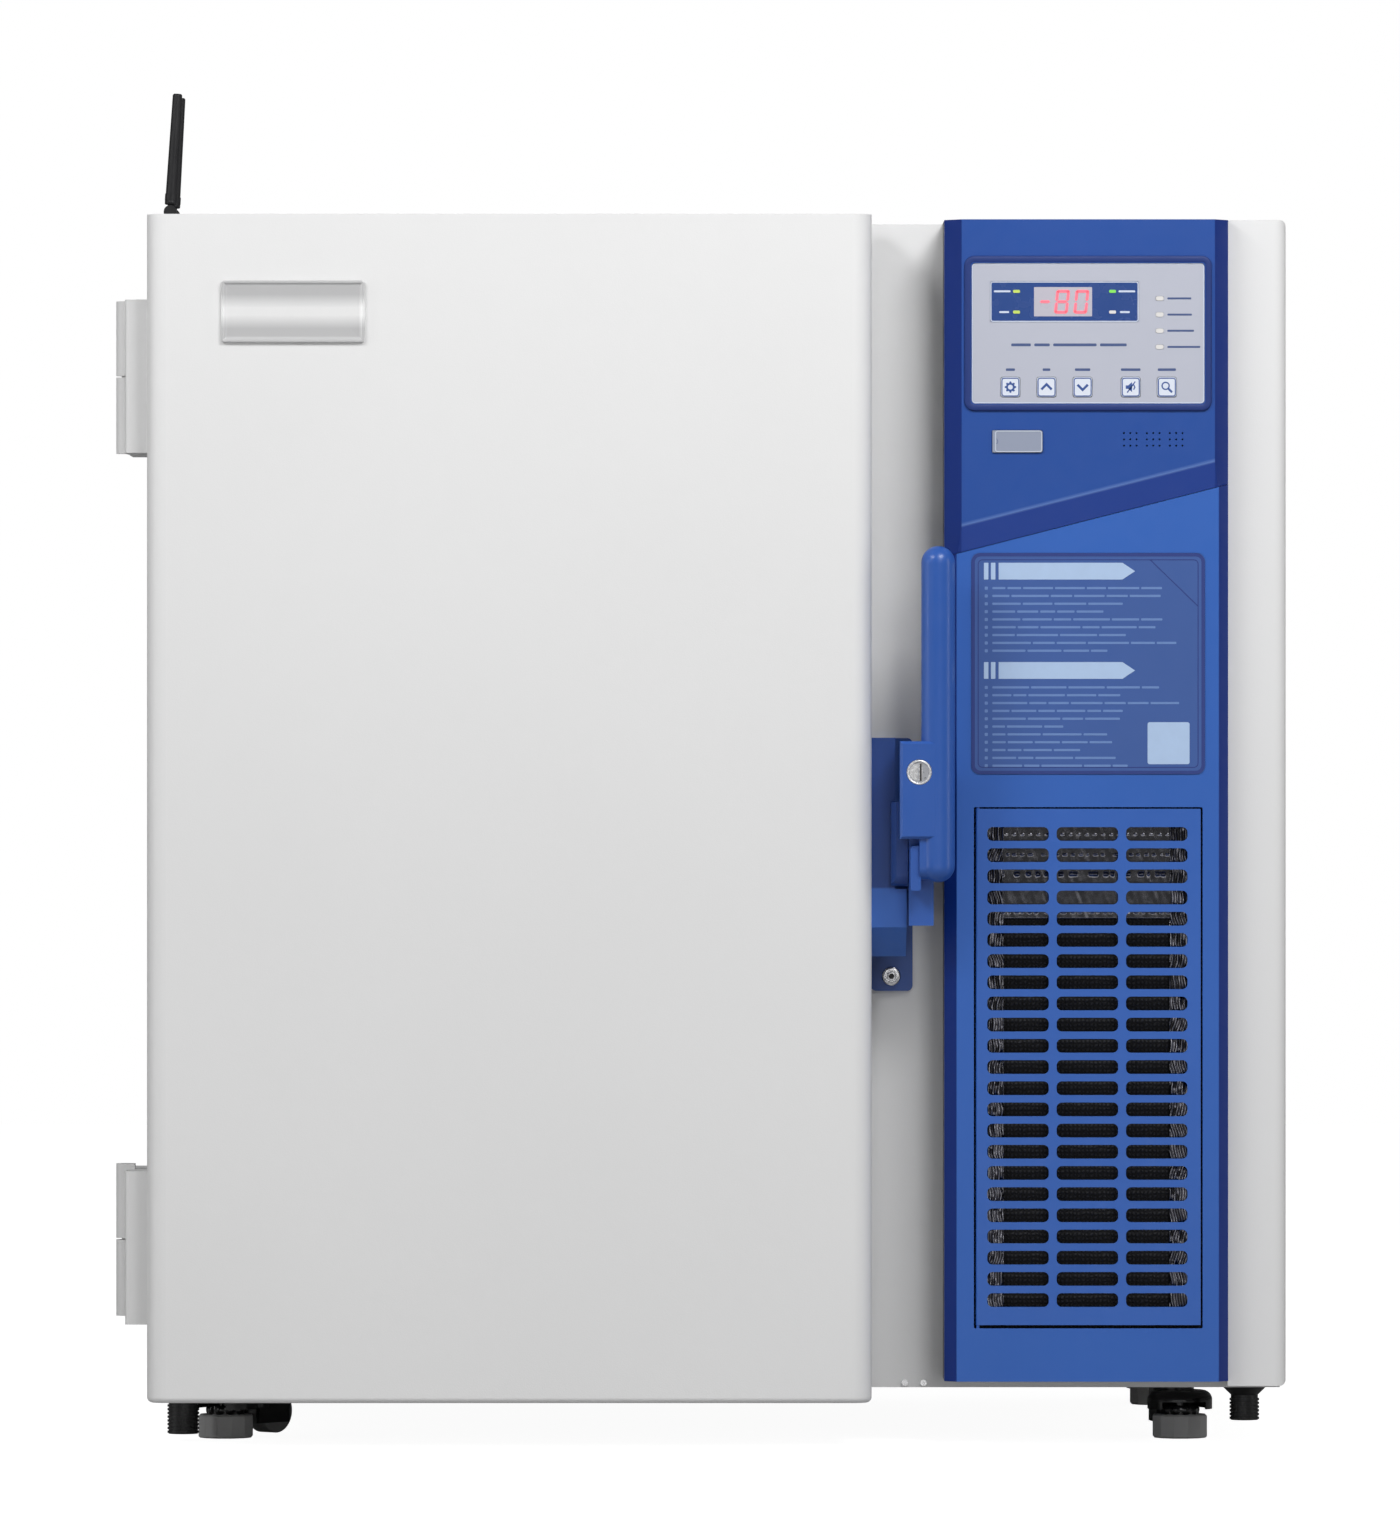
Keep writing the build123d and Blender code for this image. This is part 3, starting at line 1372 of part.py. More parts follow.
def electrical_box():
    """Wiring box with its lid, the backup battery and the mains inlet."""
    x = (column_right, column_right + box_width)
    y = (case_front + box_setback, case_front + box_setback + box_depth)
    z = (case_top - box_drop - box_height, case_top - box_drop)
    box = span_box(x, y, z) - span_box((x[0] - 1, x[1] - 2), shrink(y, 2), shrink(z, 2))
    wiring = box + span_box((x[1], x[1] + 3), shrink(y, -3), shrink(z, -3))
    battery_y = (y[0] - battery_gap - battery_size, y[0] - battery_gap)
    battery_z = (z[1] - battery_drop - battery_size, z[1] - battery_drop)
    battery = span_box((column_right, column_right + battery_width), battery_y, battery_z)
    plate_y = case_back - rear_sheet
    inlet = span_box((inlet_x - 24, inlet_x + 24), (plate_y - 28.5, plate_y), (inlet_z - 14, inlet_z + 14))
    inlet -= span_box((inlet_x - 14, inlet_x + 14), (plate_y - 18.5, plate_y + 1), (inlet_z - 9, inlet_z + 9))
    return Compound(children=[wiring, battery, inlet])


# Antennas

def antenna_spot(index):
    return (case_left + antenna_inset, case_front + antenna_setbacks[index])


pivot_height = case_top + module_height + knuckle_radius + joint_gap


def antenna_module():
    """Aerial box on the cabinet's top with a yoke for each whip."""
    x = (case_left + 1.0, case_left + 1.0 + module_width)
    middle = case_front + sum(antenna_setbacks) / 2
    y = (middle - module_depth / 2, middle + module_depth / 2)
    box = span_box(x, y, (case_top, case_top + module_height))
    box = chamfer(box.faces().sort_by(Axis.Z)[-1].edges(), 1.0)
    for index in (0, 1):
        px, py = antenna_spot(index)
        for side in (-1, 1):
            near = py + side * (knuckle_width / 2 + joint_gap)
            far = near + side * 2.5
            cheek_y = (min(near, far), max(near, far))
            cheek = bar_y(px, cheek_y, pivot_height, knuckle_radius)
            cheek += span_box((px - knuckle_radius, px + knuckle_radius), cheek_y,
                              (case_top + module_height - 1, pivot_height))
            box += cheek
        box += bar_y(px, (py - knuckle_width / 2 - 1, py + knuckle_width / 2 + 1), pivot_height, 1.4)
    return box


def antenna(index):
    """Tapered whip on a knuckle, leaning a little to the right at rest."""
    px, py = antenna_spot(index)
    knuckle = bar_y(0, (-knuckle_width / 2, knuckle_width / 2), 0, knuckle_radius)
    neck = bar_z(0, 0, (0, 9.0), 2.3)
    collar = bar_z(0, 0, (8.0, 13.0), antenna_radius + 0.4)
    length = antenna_length - 12.0
    whip = Pos(0, 0, 12.0 + length / 2) * Cone(antenna_radius, antenna_tip_radius, length)
    whip = fillet(whip.edges().filter_by(GeomType.CIRCLE).sort_by(Axis.Z)[-1:], 1.5)
    body = knuckle + neck + collar + whip - bar_y(0, (-knuckle_width, knuckle_width), 0, 1.4 + running_gap)
    return Pos(px, py, pivot_height) * Rot(0, antenna_lean, 0) * body


def write_all():
    os.makedirs("parts", exist_ok=True)
    save(door_skin(), "door_skin")
    save(door_liner(), "door_liner")
    save(door_foam(), "door_foam")
    save(door_gasket(), "door_gasket")
    save(nameplate(), "nameplate")
    save(hinge_leaves(True), "hinge_door_leaves")
    save(hinge_leaves(False), "hinge_cabinet_leaves")
    save(handle_base(), "handle_base")
    save(lever_handle(), "lever_handle")
    save(lock_cylinder(), "lock_cylinder")
    save(striker_plate(), "striker_plate")
    save(cabinet_screws(), "cabinet_screws")
    save(outer_case(), "outer_case")
    save(foam_insulation(), "foam_insulation")
    save(inner_liner(), "inner_liner")
    for node, span in inner_spans.items():
        save(inner_door(span), node)
    save(shelf(), "shelf")
    save(refrigerant_lines(), "refrigerant_lines")
    save(base_frame(), "base_frame")
    for name in caster_spots:
        save(caster_fork(name), f"caster_fork_{name}")
        save(caster_wheel(name), f"caster_wheel_{name}")
        save(caster_foot(name), f"caster_foot_{name}")
    for side in leg_spots:
        save(levelling_leg(side), f"levelling_leg_{side}")
    save(rear_spacers(), "rear_spacers")
    save(right_side_cover(), "right_side_cover")
    save(bay_frame(), "bay_frame")
    save(rear_grille(), "rear_grille")
    save(upper_fascia(), "upper_fascia")
    save(lower_fascia(), "lower_fascia")
    save(grille_door(), "grille_door")
    save(instruction_plate(), "instruction_plate")
    save(membrane_panel(), "membrane_panel")
    save(display(), "display")
    for name in key_names:
        save(key_cap(name), f"key_{name}")
    save(control_board(), "control_board")
    save(usb_cover(), "usb_cover")
    save(condenser_filter(), "condenser_filter")
    save(condenser_coil(), "condenser_coil")
    save(fan_motor(), "fan_motor")
    save(fan_blades(), "fan_blades")
    save(compressors(), "compressors")
    save(electrical_box(), "electrical_box")
    save(antenna_module(), "antenna_module")
    save(antenna(0), "antenna_front")
    save(antenna(1), "antenna_rear")


write_all()
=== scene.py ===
# %% [markdown]
# A deep freezer, dressed for its portrait.
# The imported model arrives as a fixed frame: every sheet, hinge and key already has its place.
# This script gives each of them a finish, adds the thin printed and moulded details, sets up
# the light and the camera, and leaves every shape of the frame where it was.
# All lengths here are metres, and MM turns a size on the drawing into one.

# %% Load the frame
import math

import bmesh
import bpy
import numpy as np
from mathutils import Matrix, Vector


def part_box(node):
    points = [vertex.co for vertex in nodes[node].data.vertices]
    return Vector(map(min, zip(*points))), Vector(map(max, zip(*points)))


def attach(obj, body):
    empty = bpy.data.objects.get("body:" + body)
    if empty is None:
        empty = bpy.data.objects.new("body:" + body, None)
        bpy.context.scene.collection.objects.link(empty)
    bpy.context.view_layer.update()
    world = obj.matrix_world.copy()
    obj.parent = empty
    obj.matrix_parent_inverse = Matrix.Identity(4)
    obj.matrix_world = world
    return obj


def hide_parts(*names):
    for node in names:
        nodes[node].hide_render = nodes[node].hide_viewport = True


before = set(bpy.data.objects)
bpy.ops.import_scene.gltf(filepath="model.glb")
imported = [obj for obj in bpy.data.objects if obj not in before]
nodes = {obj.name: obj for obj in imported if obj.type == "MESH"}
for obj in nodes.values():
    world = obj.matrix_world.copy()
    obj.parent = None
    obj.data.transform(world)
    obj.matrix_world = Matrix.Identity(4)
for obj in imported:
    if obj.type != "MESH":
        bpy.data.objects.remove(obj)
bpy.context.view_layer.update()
MM = 0.001
rng = np.random.default_rng(80)

# %% [markdown]
# The camera looks straight at the door from eight metres, as a catalogue photographer would,
# so that the front shows almost without perspective. A long lens could also be faked with an
# orthographic camera, but then the far casters would not peep out beside the near ones.
# The sensor is 36 mm along the picture's long side, which gives the focal length directly.

# %% Camera
PHOTO_HEIGHT = 1540
MM_PER_PIXEL = 0.712
VIEW_DISTANCE = 8.0
VIEW_HEIGHT = 0.484
SENSOR = 36.0

door_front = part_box("door_skin")[0].y
camera_data = bpy.data.cameras.new("portrait_camera")
camera_data.sensor_fit = "AUTO"
camera_data.sensor_width = SENSOR
camera_data.lens = SENSOR * VIEW_DISTANCE / (PHOTO_HEIGHT * MM_PER_PIXEL * MM)
camera_data.clip_end = 60
camera = bpy.data.objects.new("portrait_camera", camera_data)
camera.location = (0, door_front - VIEW_DISTANCE, VIEW_HEIGHT)
camera.rotation_euler = (math.radians(90), 0, 0)
bpy.context.scene.collection.objects.link(camera)
bpy.context.scene.camera = camera
print("lens in mm:", round(camera_data.lens, 1))

# %% [markdown]
# Light: a lamp a little to the right of the camera, which reaches the narrow column between
# door and control panel, two strips overhead that make the top of the door the brightest part,
# a soft lamp on the left, a narrow one at each side for the rounded edges, a low one for the
# feet, and an even sky. The sky shows white to the camera and through glass, but lights the
# object less than that. The powers were found by rendering each lamp alone and adding them up.

# %% Lamps and sky
def aim(obj, target):
    """Turn a lamp so that its local -Z points at the target."""
    obj.rotation_euler = (Vector(target) - obj.location).to_track_quat("-Z", "Y").to_euler()


def softbox(name, place, target, width, height, watts):
    """A rectangular area lamp, aimed at a point."""
    data = bpy.data.lights.new(name, "AREA")
    data.shape = "RECTANGLE"
    data.size = width
    data.size_y = height
    data.energy = watts
    lamp = bpy.data.objects.new(name, data)
    lamp.location = place
    bpy.context.scene.collection.objects.link(lamp)
    aim(lamp, target)
    return lamp


softbox("key_right", (1.0, -3.4, 1.9), (0.1, 0, 0.5), 0.7, 1.2, 12.5)
softbox("fill_left", (-2.6, -2.8, 1.5), (-0.2, 0, 0.6), 1.0, 1.6, 7)
softbox("strip_right", (0.75, -1.6, 2.0), (0.1, -0.2, 0.7), 0.9, 0.5, 24)
softbox("strip_left", (-1.2, -1.5, 2.0), (-0.3, -0.3, 0.7), 0.9, 0.5, 16.5)
softbox("edge_left", (-2.2, -0.9, 0.7), (-0.3, -0.2, 0.5), 0.3, 1.4, 6)
softbox("edge_right", (2.2, -0.9, 0.7), (0.4, -0.2, 0.5), 0.3, 1.4, 5)
softbox("low_front", (0, -2.2, 0.12), (0, -0.3, 0.04), 2.0, 0.12, 2.8)

SKY_LIGHT = 0.105
world = bpy.data.worlds.new("studio_sky")
bpy.context.scene.world = world
world.use_nodes = True
sky = world.node_tree
background = sky.nodes["Background"]
background.inputs["Color"].default_value = (1, 1, 1, 1)
rays = sky.nodes.new("ShaderNodeLightPath")
seen = sky.nodes.new("ShaderNodeMath")
seen.operation = "MAXIMUM"
sky.links.new(rays.outputs["Is Camera Ray"], seen.inputs[0])
sky.links.new(rays.outputs["Is Transmission Ray"], seen.inputs[1])
strength = sky.nodes.new("ShaderNodeMapRange")
strength.inputs["To Min"].default_value = SKY_LIGHT
strength.inputs["To Max"].default_value = 1.0
sky.links.new(seen.outputs[0], strength.inputs["Value"])
sky.links.new(strength.outputs[0], background.inputs["Strength"])
bpy.context.scene.view_settings.view_transform = "Standard"

# %% [markdown]
# The floor is a plain pale sheet. For the camera it glows a little as well as being lit, so
# that it reads as white paper and still keeps the soft shadow under the cabinet.

# %% Floor
FLOOR_SIZE = 14.0
FLOOR_GLOW = 0.95


def grid_faces(rows, columns, wrap_rows=False, wrap_columns=False):
    """Quads between neighbouring points of a grid, as an array of corner numbers."""
    i, j = np.meshgrid(np.arange(rows if wrap_rows else rows - 1),
                       np.arange(columns if wrap_columns else columns - 1), indexing="ij")
    i, j = i.ravel(), j.ravel()
    i2, j2 = (i + 1) % rows, (j + 1) % columns
    return np.stack([i * columns + j, i * columns + j2, i2 * columns + j2, i2 * columns + j], axis=1)


def capped_faces(rings, count):
    """Faces of a tube made of rings of count points, closed by a flat face at both ends."""
    faces = [tuple(f) for f in grid_faces(rings, count, wrap_columns=True)]
    return faces + [tuple(range(count)), tuple(range((rings - 1) * count, rings * count))]


def new_object(name, vertices, faces, material=None, smooth=False, outward=True):
    """A mesh object at the origin from arrays of points and faces, with its faces turned outwards."""
    mesh = bpy.data.meshes.new(name)
    mesh.from_pydata(np.asarray(vertices).reshape(-1, 3).tolist(), [], [list(map(int, f)) for f in faces])
    if outward:
        work = bmesh.new()
        work.from_mesh(mesh)
        bmesh.ops.recalc_face_normals(work, faces=work.faces)
        work.to_mesh(mesh)
        work.free()
    if smooth:
        mesh.polygons.foreach_set("use_smooth", np.ones(len(mesh.polygons), dtype=bool))
    if material:
        mesh.materials.append(material)
    obj = bpy.data.objects.new(name, mesh)
    bpy.context.scene.collection.objects.link(obj)
    return obj


half = FLOOR_SIZE / 2
floor = new_object("floor_sheet", [(-half, -half, 0), (half, -half, 0), (half, half, 0), (-half, half, 0)],
                   [(0, 1, 2, 3)], outward=False)
paper = bpy.data.materials.new("white_paper")
paper.use_nodes = True
tree = paper.node_tree
shade = tree.nodes["Principled BSDF"]
shade.inputs["Base Color"].default_value = (0.4, 0.4, 0.4, 1)
shade.inputs["Roughness"].default_value = 0.9
paper_rays = tree.nodes.new("ShaderNodeLightPath")
glow = tree.nodes.new("ShaderNodeMath")
glow.operation = "MULTIPLY"
glow.inputs[1].default_value = FLOOR_GLOW
tree.links.new(paper_rays.outputs["Is Camera Ray"], glow.inputs[0])
shade.inputs["Emission Color"].default_value = (1, 1, 1, 1)
tree.links.new(glow.outputs[0], shade.inputs["Emission Strength"])
floor.data.materials.append(paper)

# %% [markdown]
# Every finish starts from the same recipe: a base colour that drifts very slightly from place
# to place, a roughness that drifts too, and a fine bump. Powder coat has the grain of a fine
# orange peel, moulded plastic has a spark-eroded texture, brushed steel is a noise stretched
# along one direction. The pattern is worked out from Object coordinates, which are metres on
# the object, so a scale of 1000 means features of about a millimetre.

# %% Finishes
def srgb(red, green, blue):
    """A colour as read from a screen, 0 to 255, turned into Blender's linear values."""
    c = np.array([red, green, blue]) / 255.0
    linear = np.where(c <= 0.04045, c / 12.92, ((c + 0.055) / 1.055) ** 2.4)
    return tuple(float(v) for v in linear) + (1.0,)


def shaded(colour, share):
    """The same colour times a share."""
    return tuple(v * share for v in colour[:3]) + (1.0,)


class Finish:
    """Builds one procedural material step by step."""

    def __init__(self, name, roughness=0.5, metallic=0.0, specular=0.5, coat=0.0, coat_roughness=0.1):
        self.material = bpy.data.materials.new(name)
        self.material.use_nodes = True
        self.tree = self.material.node_tree
        self.shader = self.tree.nodes["Principled BSDF"]
        self.shader.inputs["Roughness"].default_value = roughness
        self.shader.inputs["Metallic"].default_value = metallic
        self.shader.inputs["Specular IOR Level"].default_value = specular
        self.shader.inputs["Coat Weight"].default_value = coat
        self.shader.inputs["Coat Roughness"].default_value = coat_roughness
        self.place = self.tree.nodes.new("ShaderNodeTexCoord").outputs["Object"]

    def node(self, kind, **values):
        made = self.tree.nodes.new(kind)
        for key, value in values.items():
            setattr(made, key, value)
        return made

    def link(self, source, target):
        self.tree.links.new(source, target)

    def noise(self, scale, detail=2.0, stretch=(1, 1, 1)):
        """Noise with features of about 1/scale metres, stretched by dividing each axis."""
        texture = self.node("ShaderNodeTexNoise")
        texture.inputs["Scale"].default_value = scale
        texture.inputs["Detail"].default_value = detail
        mapping = self.node("ShaderNodeMapping")
        mapping.inputs["Scale"].default_value = stretch
        self.link(self.place, mapping.inputs["Vector"])
        self.link(mapping.outputs["Vector"], texture.inputs["Vector"])
        return texture.outputs["Fac"]

    def spread(self, value, low, high, start=0.3, end=0.7):
        """Map a value from start..end to low..high."""
        ranged = self.node("ShaderNodeMapRange")
        ranged.inputs["From Min"].default_value = start
        ranged.inputs["From Max"].default_value = end
        ranged.inputs["To Min"].default_value = low
        ranged.inputs["To Max"].default_value = high
        self.link(value, ranged.inputs["Value"])
        return ranged.outputs["Result"]

    def mix(self, share, first, second):
        """Colour between two colours or sockets."""
        blend = self.node("ShaderNodeMix", data_type="RGBA")
        for socket, value in ((blend.inputs["A"], first), (blend.inputs["B"], second)):
            if isinstance(value, tuple):
                socket.default_value = value
            else:
                self.link(value, socket)
        if isinstance(share, float):
            blend.inputs["Factor"].default_value = share
        else:
            self.link(share, blend.inputs["Factor"])
        return blend.outputs["Result"]

    def colour(self, socket):
        self.link(socket, self.shader.inputs["Base Color"])
        return self

    def drift(self, colour, amount=0.04, scale=6.0):
        """Base colour that varies by a few percent over the surface."""
        share = self.spread(self.noise(scale, 3.0), 0.0, 1.0)
        return self.colour(self.mix(share, shaded(colour, 1 - amount), shaded(colour, 1 + amount)))

    def rough(self, low, high, scale=40.0, stretch=(1, 1, 1)):
        self.link(self.spread(self.noise(scale, 3.0, stretch), low, high), self.shader.inputs["Roughness"])
        return self

    def bump(self, scale, depth, strength=0.5, detail=2.0, stretch=(1, 1, 1)):
        """Surface relief from a noise, its depth in metres."""
        relief = self.node("ShaderNodeBump")
        relief.inputs["Strength"].default_value = strength
        relief.inputs["Distance"].default_value = depth
        self.link(self.noise(scale, detail, stretch), relief.inputs["Height"])
        normal = self.shader.inputs["Normal"]
        if normal.is_linked:
            self.link(normal.links[0].from_socket, relief.inputs["Normal"])
        self.link(relief.outputs["Normal"], normal)
        return self

    def axis(self, name):
        """One coordinate of the surface point."""
        split = self.node("ShaderNodeSeparateXYZ")
        self.link(self.place, split.inputs["Vector"])
        return split.outputs[name]


def powder_coat(name, colour):
    finish = Finish(name, roughness=0.42, specular=0.4)
    finish.drift(colour, 0.012, 3.0).rough(0.38, 0.48, 60.0)
    return finish.bump(900.0, 0.00012, 0.5).bump(260.0, 0.0001, 0.2).material


def moulded(name, colour, roughness=0.4, drift=0.03):
    finish = Finish(name, roughness=roughness, specular=0.45)
    finish.drift(colour, drift, 8.0).rough(roughness - 0.05, roughness + 0.06, 90.0)
    return finish.bump(1400.0, 0.00008, 0.3).material


def brushed(name, colour, roughness=0.3, stretch=(1, 1, 40)):
    finish = Finish(name, roughness=roughness, metallic=1.0)
    finish.drift(colour, 0.03, 12.0).rough(roughness - 0.08, roughness + 0.1, 30.0, stretch)
    return finish.bump(300.0, 0.00004, 0.35, 3.0, stretch).material


def rubbery(name, colour, roughness=0.6):
    finish = Finish(name, roughness=roughness, specular=0.35)
    finish.drift(colour, 0.08, 20.0).rough(roughness - 0.08, roughness + 0.1, 70.0)
    return finish.bump(700.0, 0.0001, 0.4).material


def printed(name, colour, roughness=0.5):
    finish = Finish(name, roughness=roughness)
    return finish.drift(colour, 0.02, 120.0).rough(roughness - 0.04, roughness + 0.04, 400.0).material


WHITE_PAINT = srgb(232, 232, 232)
UPPER_BLUE = srgb(40, 79, 156)
LOWER_BLUE = srgb(54, 101, 184)
BAND_PAINTED_SHADE_BLUE = srgb(32, 63, 144)
BEVEL_NAVY = srgb(14, 46, 124)
LATCH_BLUE = srgb(47, 90, 170)
RIDGE_PAINTED_HIGHLIGHT = srgb(120, 150, 206)

white_coat = powder_coat("white_powder_coat", WHITE_PAINT)
hinge_coat = powder_coat("grey_hinge_paint", srgb(224, 224, 224))
dark_coat = powder_coat("dark_grey_paint", srgb(72, 73, 76))
latch_plastic = moulded("latch_blue_plastic", LATCH_BLUE, 0.33)
pale_overlay = moulded("pale_overlay_film", srgb(185, 188, 201), 0.42, 0.01)
flap_plastic = moulded("pale_flap_plastic", srgb(148, 156, 176), 0.45)
key_film = moulded("white_key_film", srgb(222, 228, 240), 0.4, 0.01)
plate_film = moulded("plate_blue_film", srgb(60, 92, 158), 0.45, 0.02)
foot_plastic = moulded("grey_foot_plastic", srgb(136, 136, 136), 0.62)


def screw_foot(name, pad_height):
    """Grey pad below, glossy black collar and stem above, told apart by height."""
    finish = Finish(name, specular=0.5)
    above = finish.spread(finish.axis("Z"), 0.0, 1.0, pad_height, pad_height + 0.3 * MM)
    finish.colour(finish.mix(above, srgb(192, 192, 192), srgb(26, 26, 27)))
    finish.link(finish.spread(above, 0.6, 0.14, 0.0, 1.0), finish.shader.inputs["Roughness"])
    return finish.bump(1400.0, 0.00008, 0.3).material


def latch_base_painted_shade(name, step_height):
    """Blue moulding whose upper block is painted a shade darker than its toe: painted shade for the shadow
    beside the lever.
    """
    finish = Finish(name, roughness=0.36, specular=0.45)
    above = finish.spread(finish.axis("Z"), 0.0, 1.0, step_height, step_height + 1.5 * MM)
    # Painted shade: above the step the colour turns darker.
    finish.colour(finish.mix(above, srgb(56, 104, 186), srgb(36, 68, 134)))
    return finish.rough(0.32, 0.42, 90.0).bump(1400.0, 0.00008, 0.3).material


base_block_painted_shade = latch_base_painted_shade("base_block_blue_painted_shade", 399.0 * MM)
keeper_plastic = moulded("keeper_blue_plastic", srgb(56, 88, 158), 0.36)
foot_grey = screw_foot("screw_foot_grey_and_black", 17.0 * MM)
gloss_black = moulded("glossy_black_plastic", srgb(26, 26, 27), 0.2)
ribbed_black = moulded("black_leg_plastic", srgb(34, 34, 35), 0.42)
aerial_black = rubbery("aerial_black_sleeve", srgb(30, 30, 32), 0.42)
spacer_rubber = rubbery("black_spacer_rubber", srgb(32, 32, 34))
seal_rubber = rubbery("grey_seal_rubber", srgb(120, 122, 126), 0.55)
liner_coat = powder_coat("white_liner_paint", srgb(236, 238, 240))
liner_steel = brushed("stainless_chamber_steel", (0.62, 0.63, 0.65, 1.0), 0.34)
bright_metal = brushed("turned_bright_metal", (0.75, 0.75, 0.76, 1.0), 0.22, (1, 40, 1))
fin_metal = brushed("condenser_fin_metal", (0.55, 0.56, 0.58, 1.0), 0.4)
copper = brushed("copper_tube", (0.72, 0.38, 0.24, 1.0), 0.32, (1, 1, 1))
board_resin = moulded("circuit_board_green", srgb(20, 92, 58), 0.4)
foam_cells = rubbery("yellow_foam", srgb(226, 208, 158), 0.9)


SPLIT_SLOPE = math.radians(14.3)
BAND_HEIGHT = 18.2 * MM


def fascia_blue(name, face_colour, left, right, bevel_left, bevel_right, ridge=None):
    """Blue moulding whose sloping sides are painted navy, told apart by the distance from each side.

    ridge is the height of the slanted band's upper edge, measured square to the slant. Below it the band is
    painted darker, as painted shade for its downward-tilted face, and along it runs a pale painted highlight.
    """
    finish = Finish(name, roughness=0.38, specular=0.3)
    x = finish.axis("X")
    soft = 0.6 * MM
    from_left = finish.spread(x, 1.0, 0.0, left + bevel_left - soft, left + bevel_left)
    from_right = finish.spread(x, 0.0, 1.0, right - bevel_right, right - bevel_right + soft)
    side = finish.node("ShaderNodeMath", operation="MAXIMUM")
    finish.link(from_left, side.inputs[0])
    finish.link(from_right, side.inputs[1])
    drift = finish.spread(finish.noise(8.0, 3.0), 0.0, 1.0)
    face = finish.mix(drift, shaded(face_colour, 0.98), shaded(face_colour, 1.02))
    if ridge is not None:
        tilted = finish.node("ShaderNodeMapping")
        tilted.inputs["Rotation"].default_value = (0, SPLIT_SLOPE, 0)
        finish.link(finish.place, tilted.inputs["Vector"])
        split = finish.node("ShaderNodeSeparateXYZ")
        finish.link(tilted.outputs["Vector"], split.inputs["Vector"])
        height = split.outputs["Z"]
        # Painted shade: the slanted band below its upper edge is coloured darker, for the shade on its
        # downward-tilted face.
        below = finish.spread(height, 1.0, 0.0, ridge - 0.4 * MM, ridge)
        face = finish.mix(below, face, BAND_PAINTED_SHADE_BLUE)
        # Painted highlight: a pale line along the band's upper edge, for the light it catches.
        line = finish.node("ShaderNodeMath", operation="MINIMUM")
        finish.link(finish.spread(height, 0.0, 0.45, ridge - 1.4 * MM, ridge), line.inputs[0])
        finish.link(finish.spread(height, 0.45, 0.0, ridge, ridge + 2.2 * MM), line.inputs[1])
        face = finish.mix(line.outputs[0], face, RIDGE_PAINTED_HIGHLIGHT)
    finish.colour(finish.mix(side.outputs[0], face, BEVEL_NAVY))
    finish.rough(0.34, 0.44, 90.0)
    return finish.bump(1400.0, 0.00008, 0.3).material


BEVEL_LEFT = 12.3 * MM
BEVEL_RIGHT = 10.2 * MM
panel_low, panel_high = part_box("upper_fascia")
ridge_height = (panel_low.z * math.cos(SPLIT_SLOPE) - panel_low.x * math.sin(SPLIT_SLOPE)) + BAND_HEIGHT
upper_plastic_painted_band = fascia_blue("upper_blue_plastic_painted_band", UPPER_BLUE, panel_low.x, panel_high.x, BEVEL_LEFT, BEVEL_RIGHT,
                            ridge_height)
lower_plastic = fascia_blue("lower_blue_plastic", LOWER_BLUE, panel_low.x, panel_high.x,
                            BEVEL_LEFT - 3.5 * MM, BEVEL_RIGHT - 3.0 * MM)
grille_plastic = moulded("grille_blue_plastic", srgb(49, 98, 183), 0.38)

# %% [markdown]
# The filter behind the grille is a black woven mat. A wave texture in two directions gives the
# weave; real threads would need millions of faces for something seen only through slots.

# %% Filter mat
def woven_mat(name, colour, pitch):
    """Dark weave: two wave patterns, one across and one up, multiplied."""
    finish = Finish(name, roughness=0.7, specular=0.3)
    waves = []
    for direction in ("X", "Z"):
        wave = finish.node("ShaderNodeTexWave", wave_type="BANDS", bands_direction=direction)
        wave.inputs["Scale"].default_value = 1.0 / pitch / 20 * 6.2832
        wave.inputs["Distortion"].default_value = 3.5
        wave.inputs["Detail"].default_value = 2.0
        wave.inputs["Detail Scale"].default_value = 1.5
        finish.link(finish.place, wave.inputs["Vector"])
        waves.append(wave.outputs["Fac"])
    weave = finish.node("ShaderNodeMath", operation="MULTIPLY")
    finish.link(waves[0], weave.inputs[0])
    finish.link(waves[1], weave.inputs[1])
    tone = finish.spread(weave.outputs[0], 0.0, 1.0, 0.0, 0.8)
    finish.colour(finish.mix(tone, shaded(colour, 0.35), shaded(colour, 1.9)))
    relief = finish.node("ShaderNodeBump")
    relief.inputs["Strength"].default_value = 0.8
    relief.inputs["Distance"].default_value = 0.0012
    finish.link(weave.outputs[0], relief.inputs["Height"])
    finish.link(relief.outputs["Normal"], finish.shader.inputs["Normal"])
    return finish.material


filter_weave = woven_mat("black_filter_weave", srgb(38, 38, 40), 0.003)

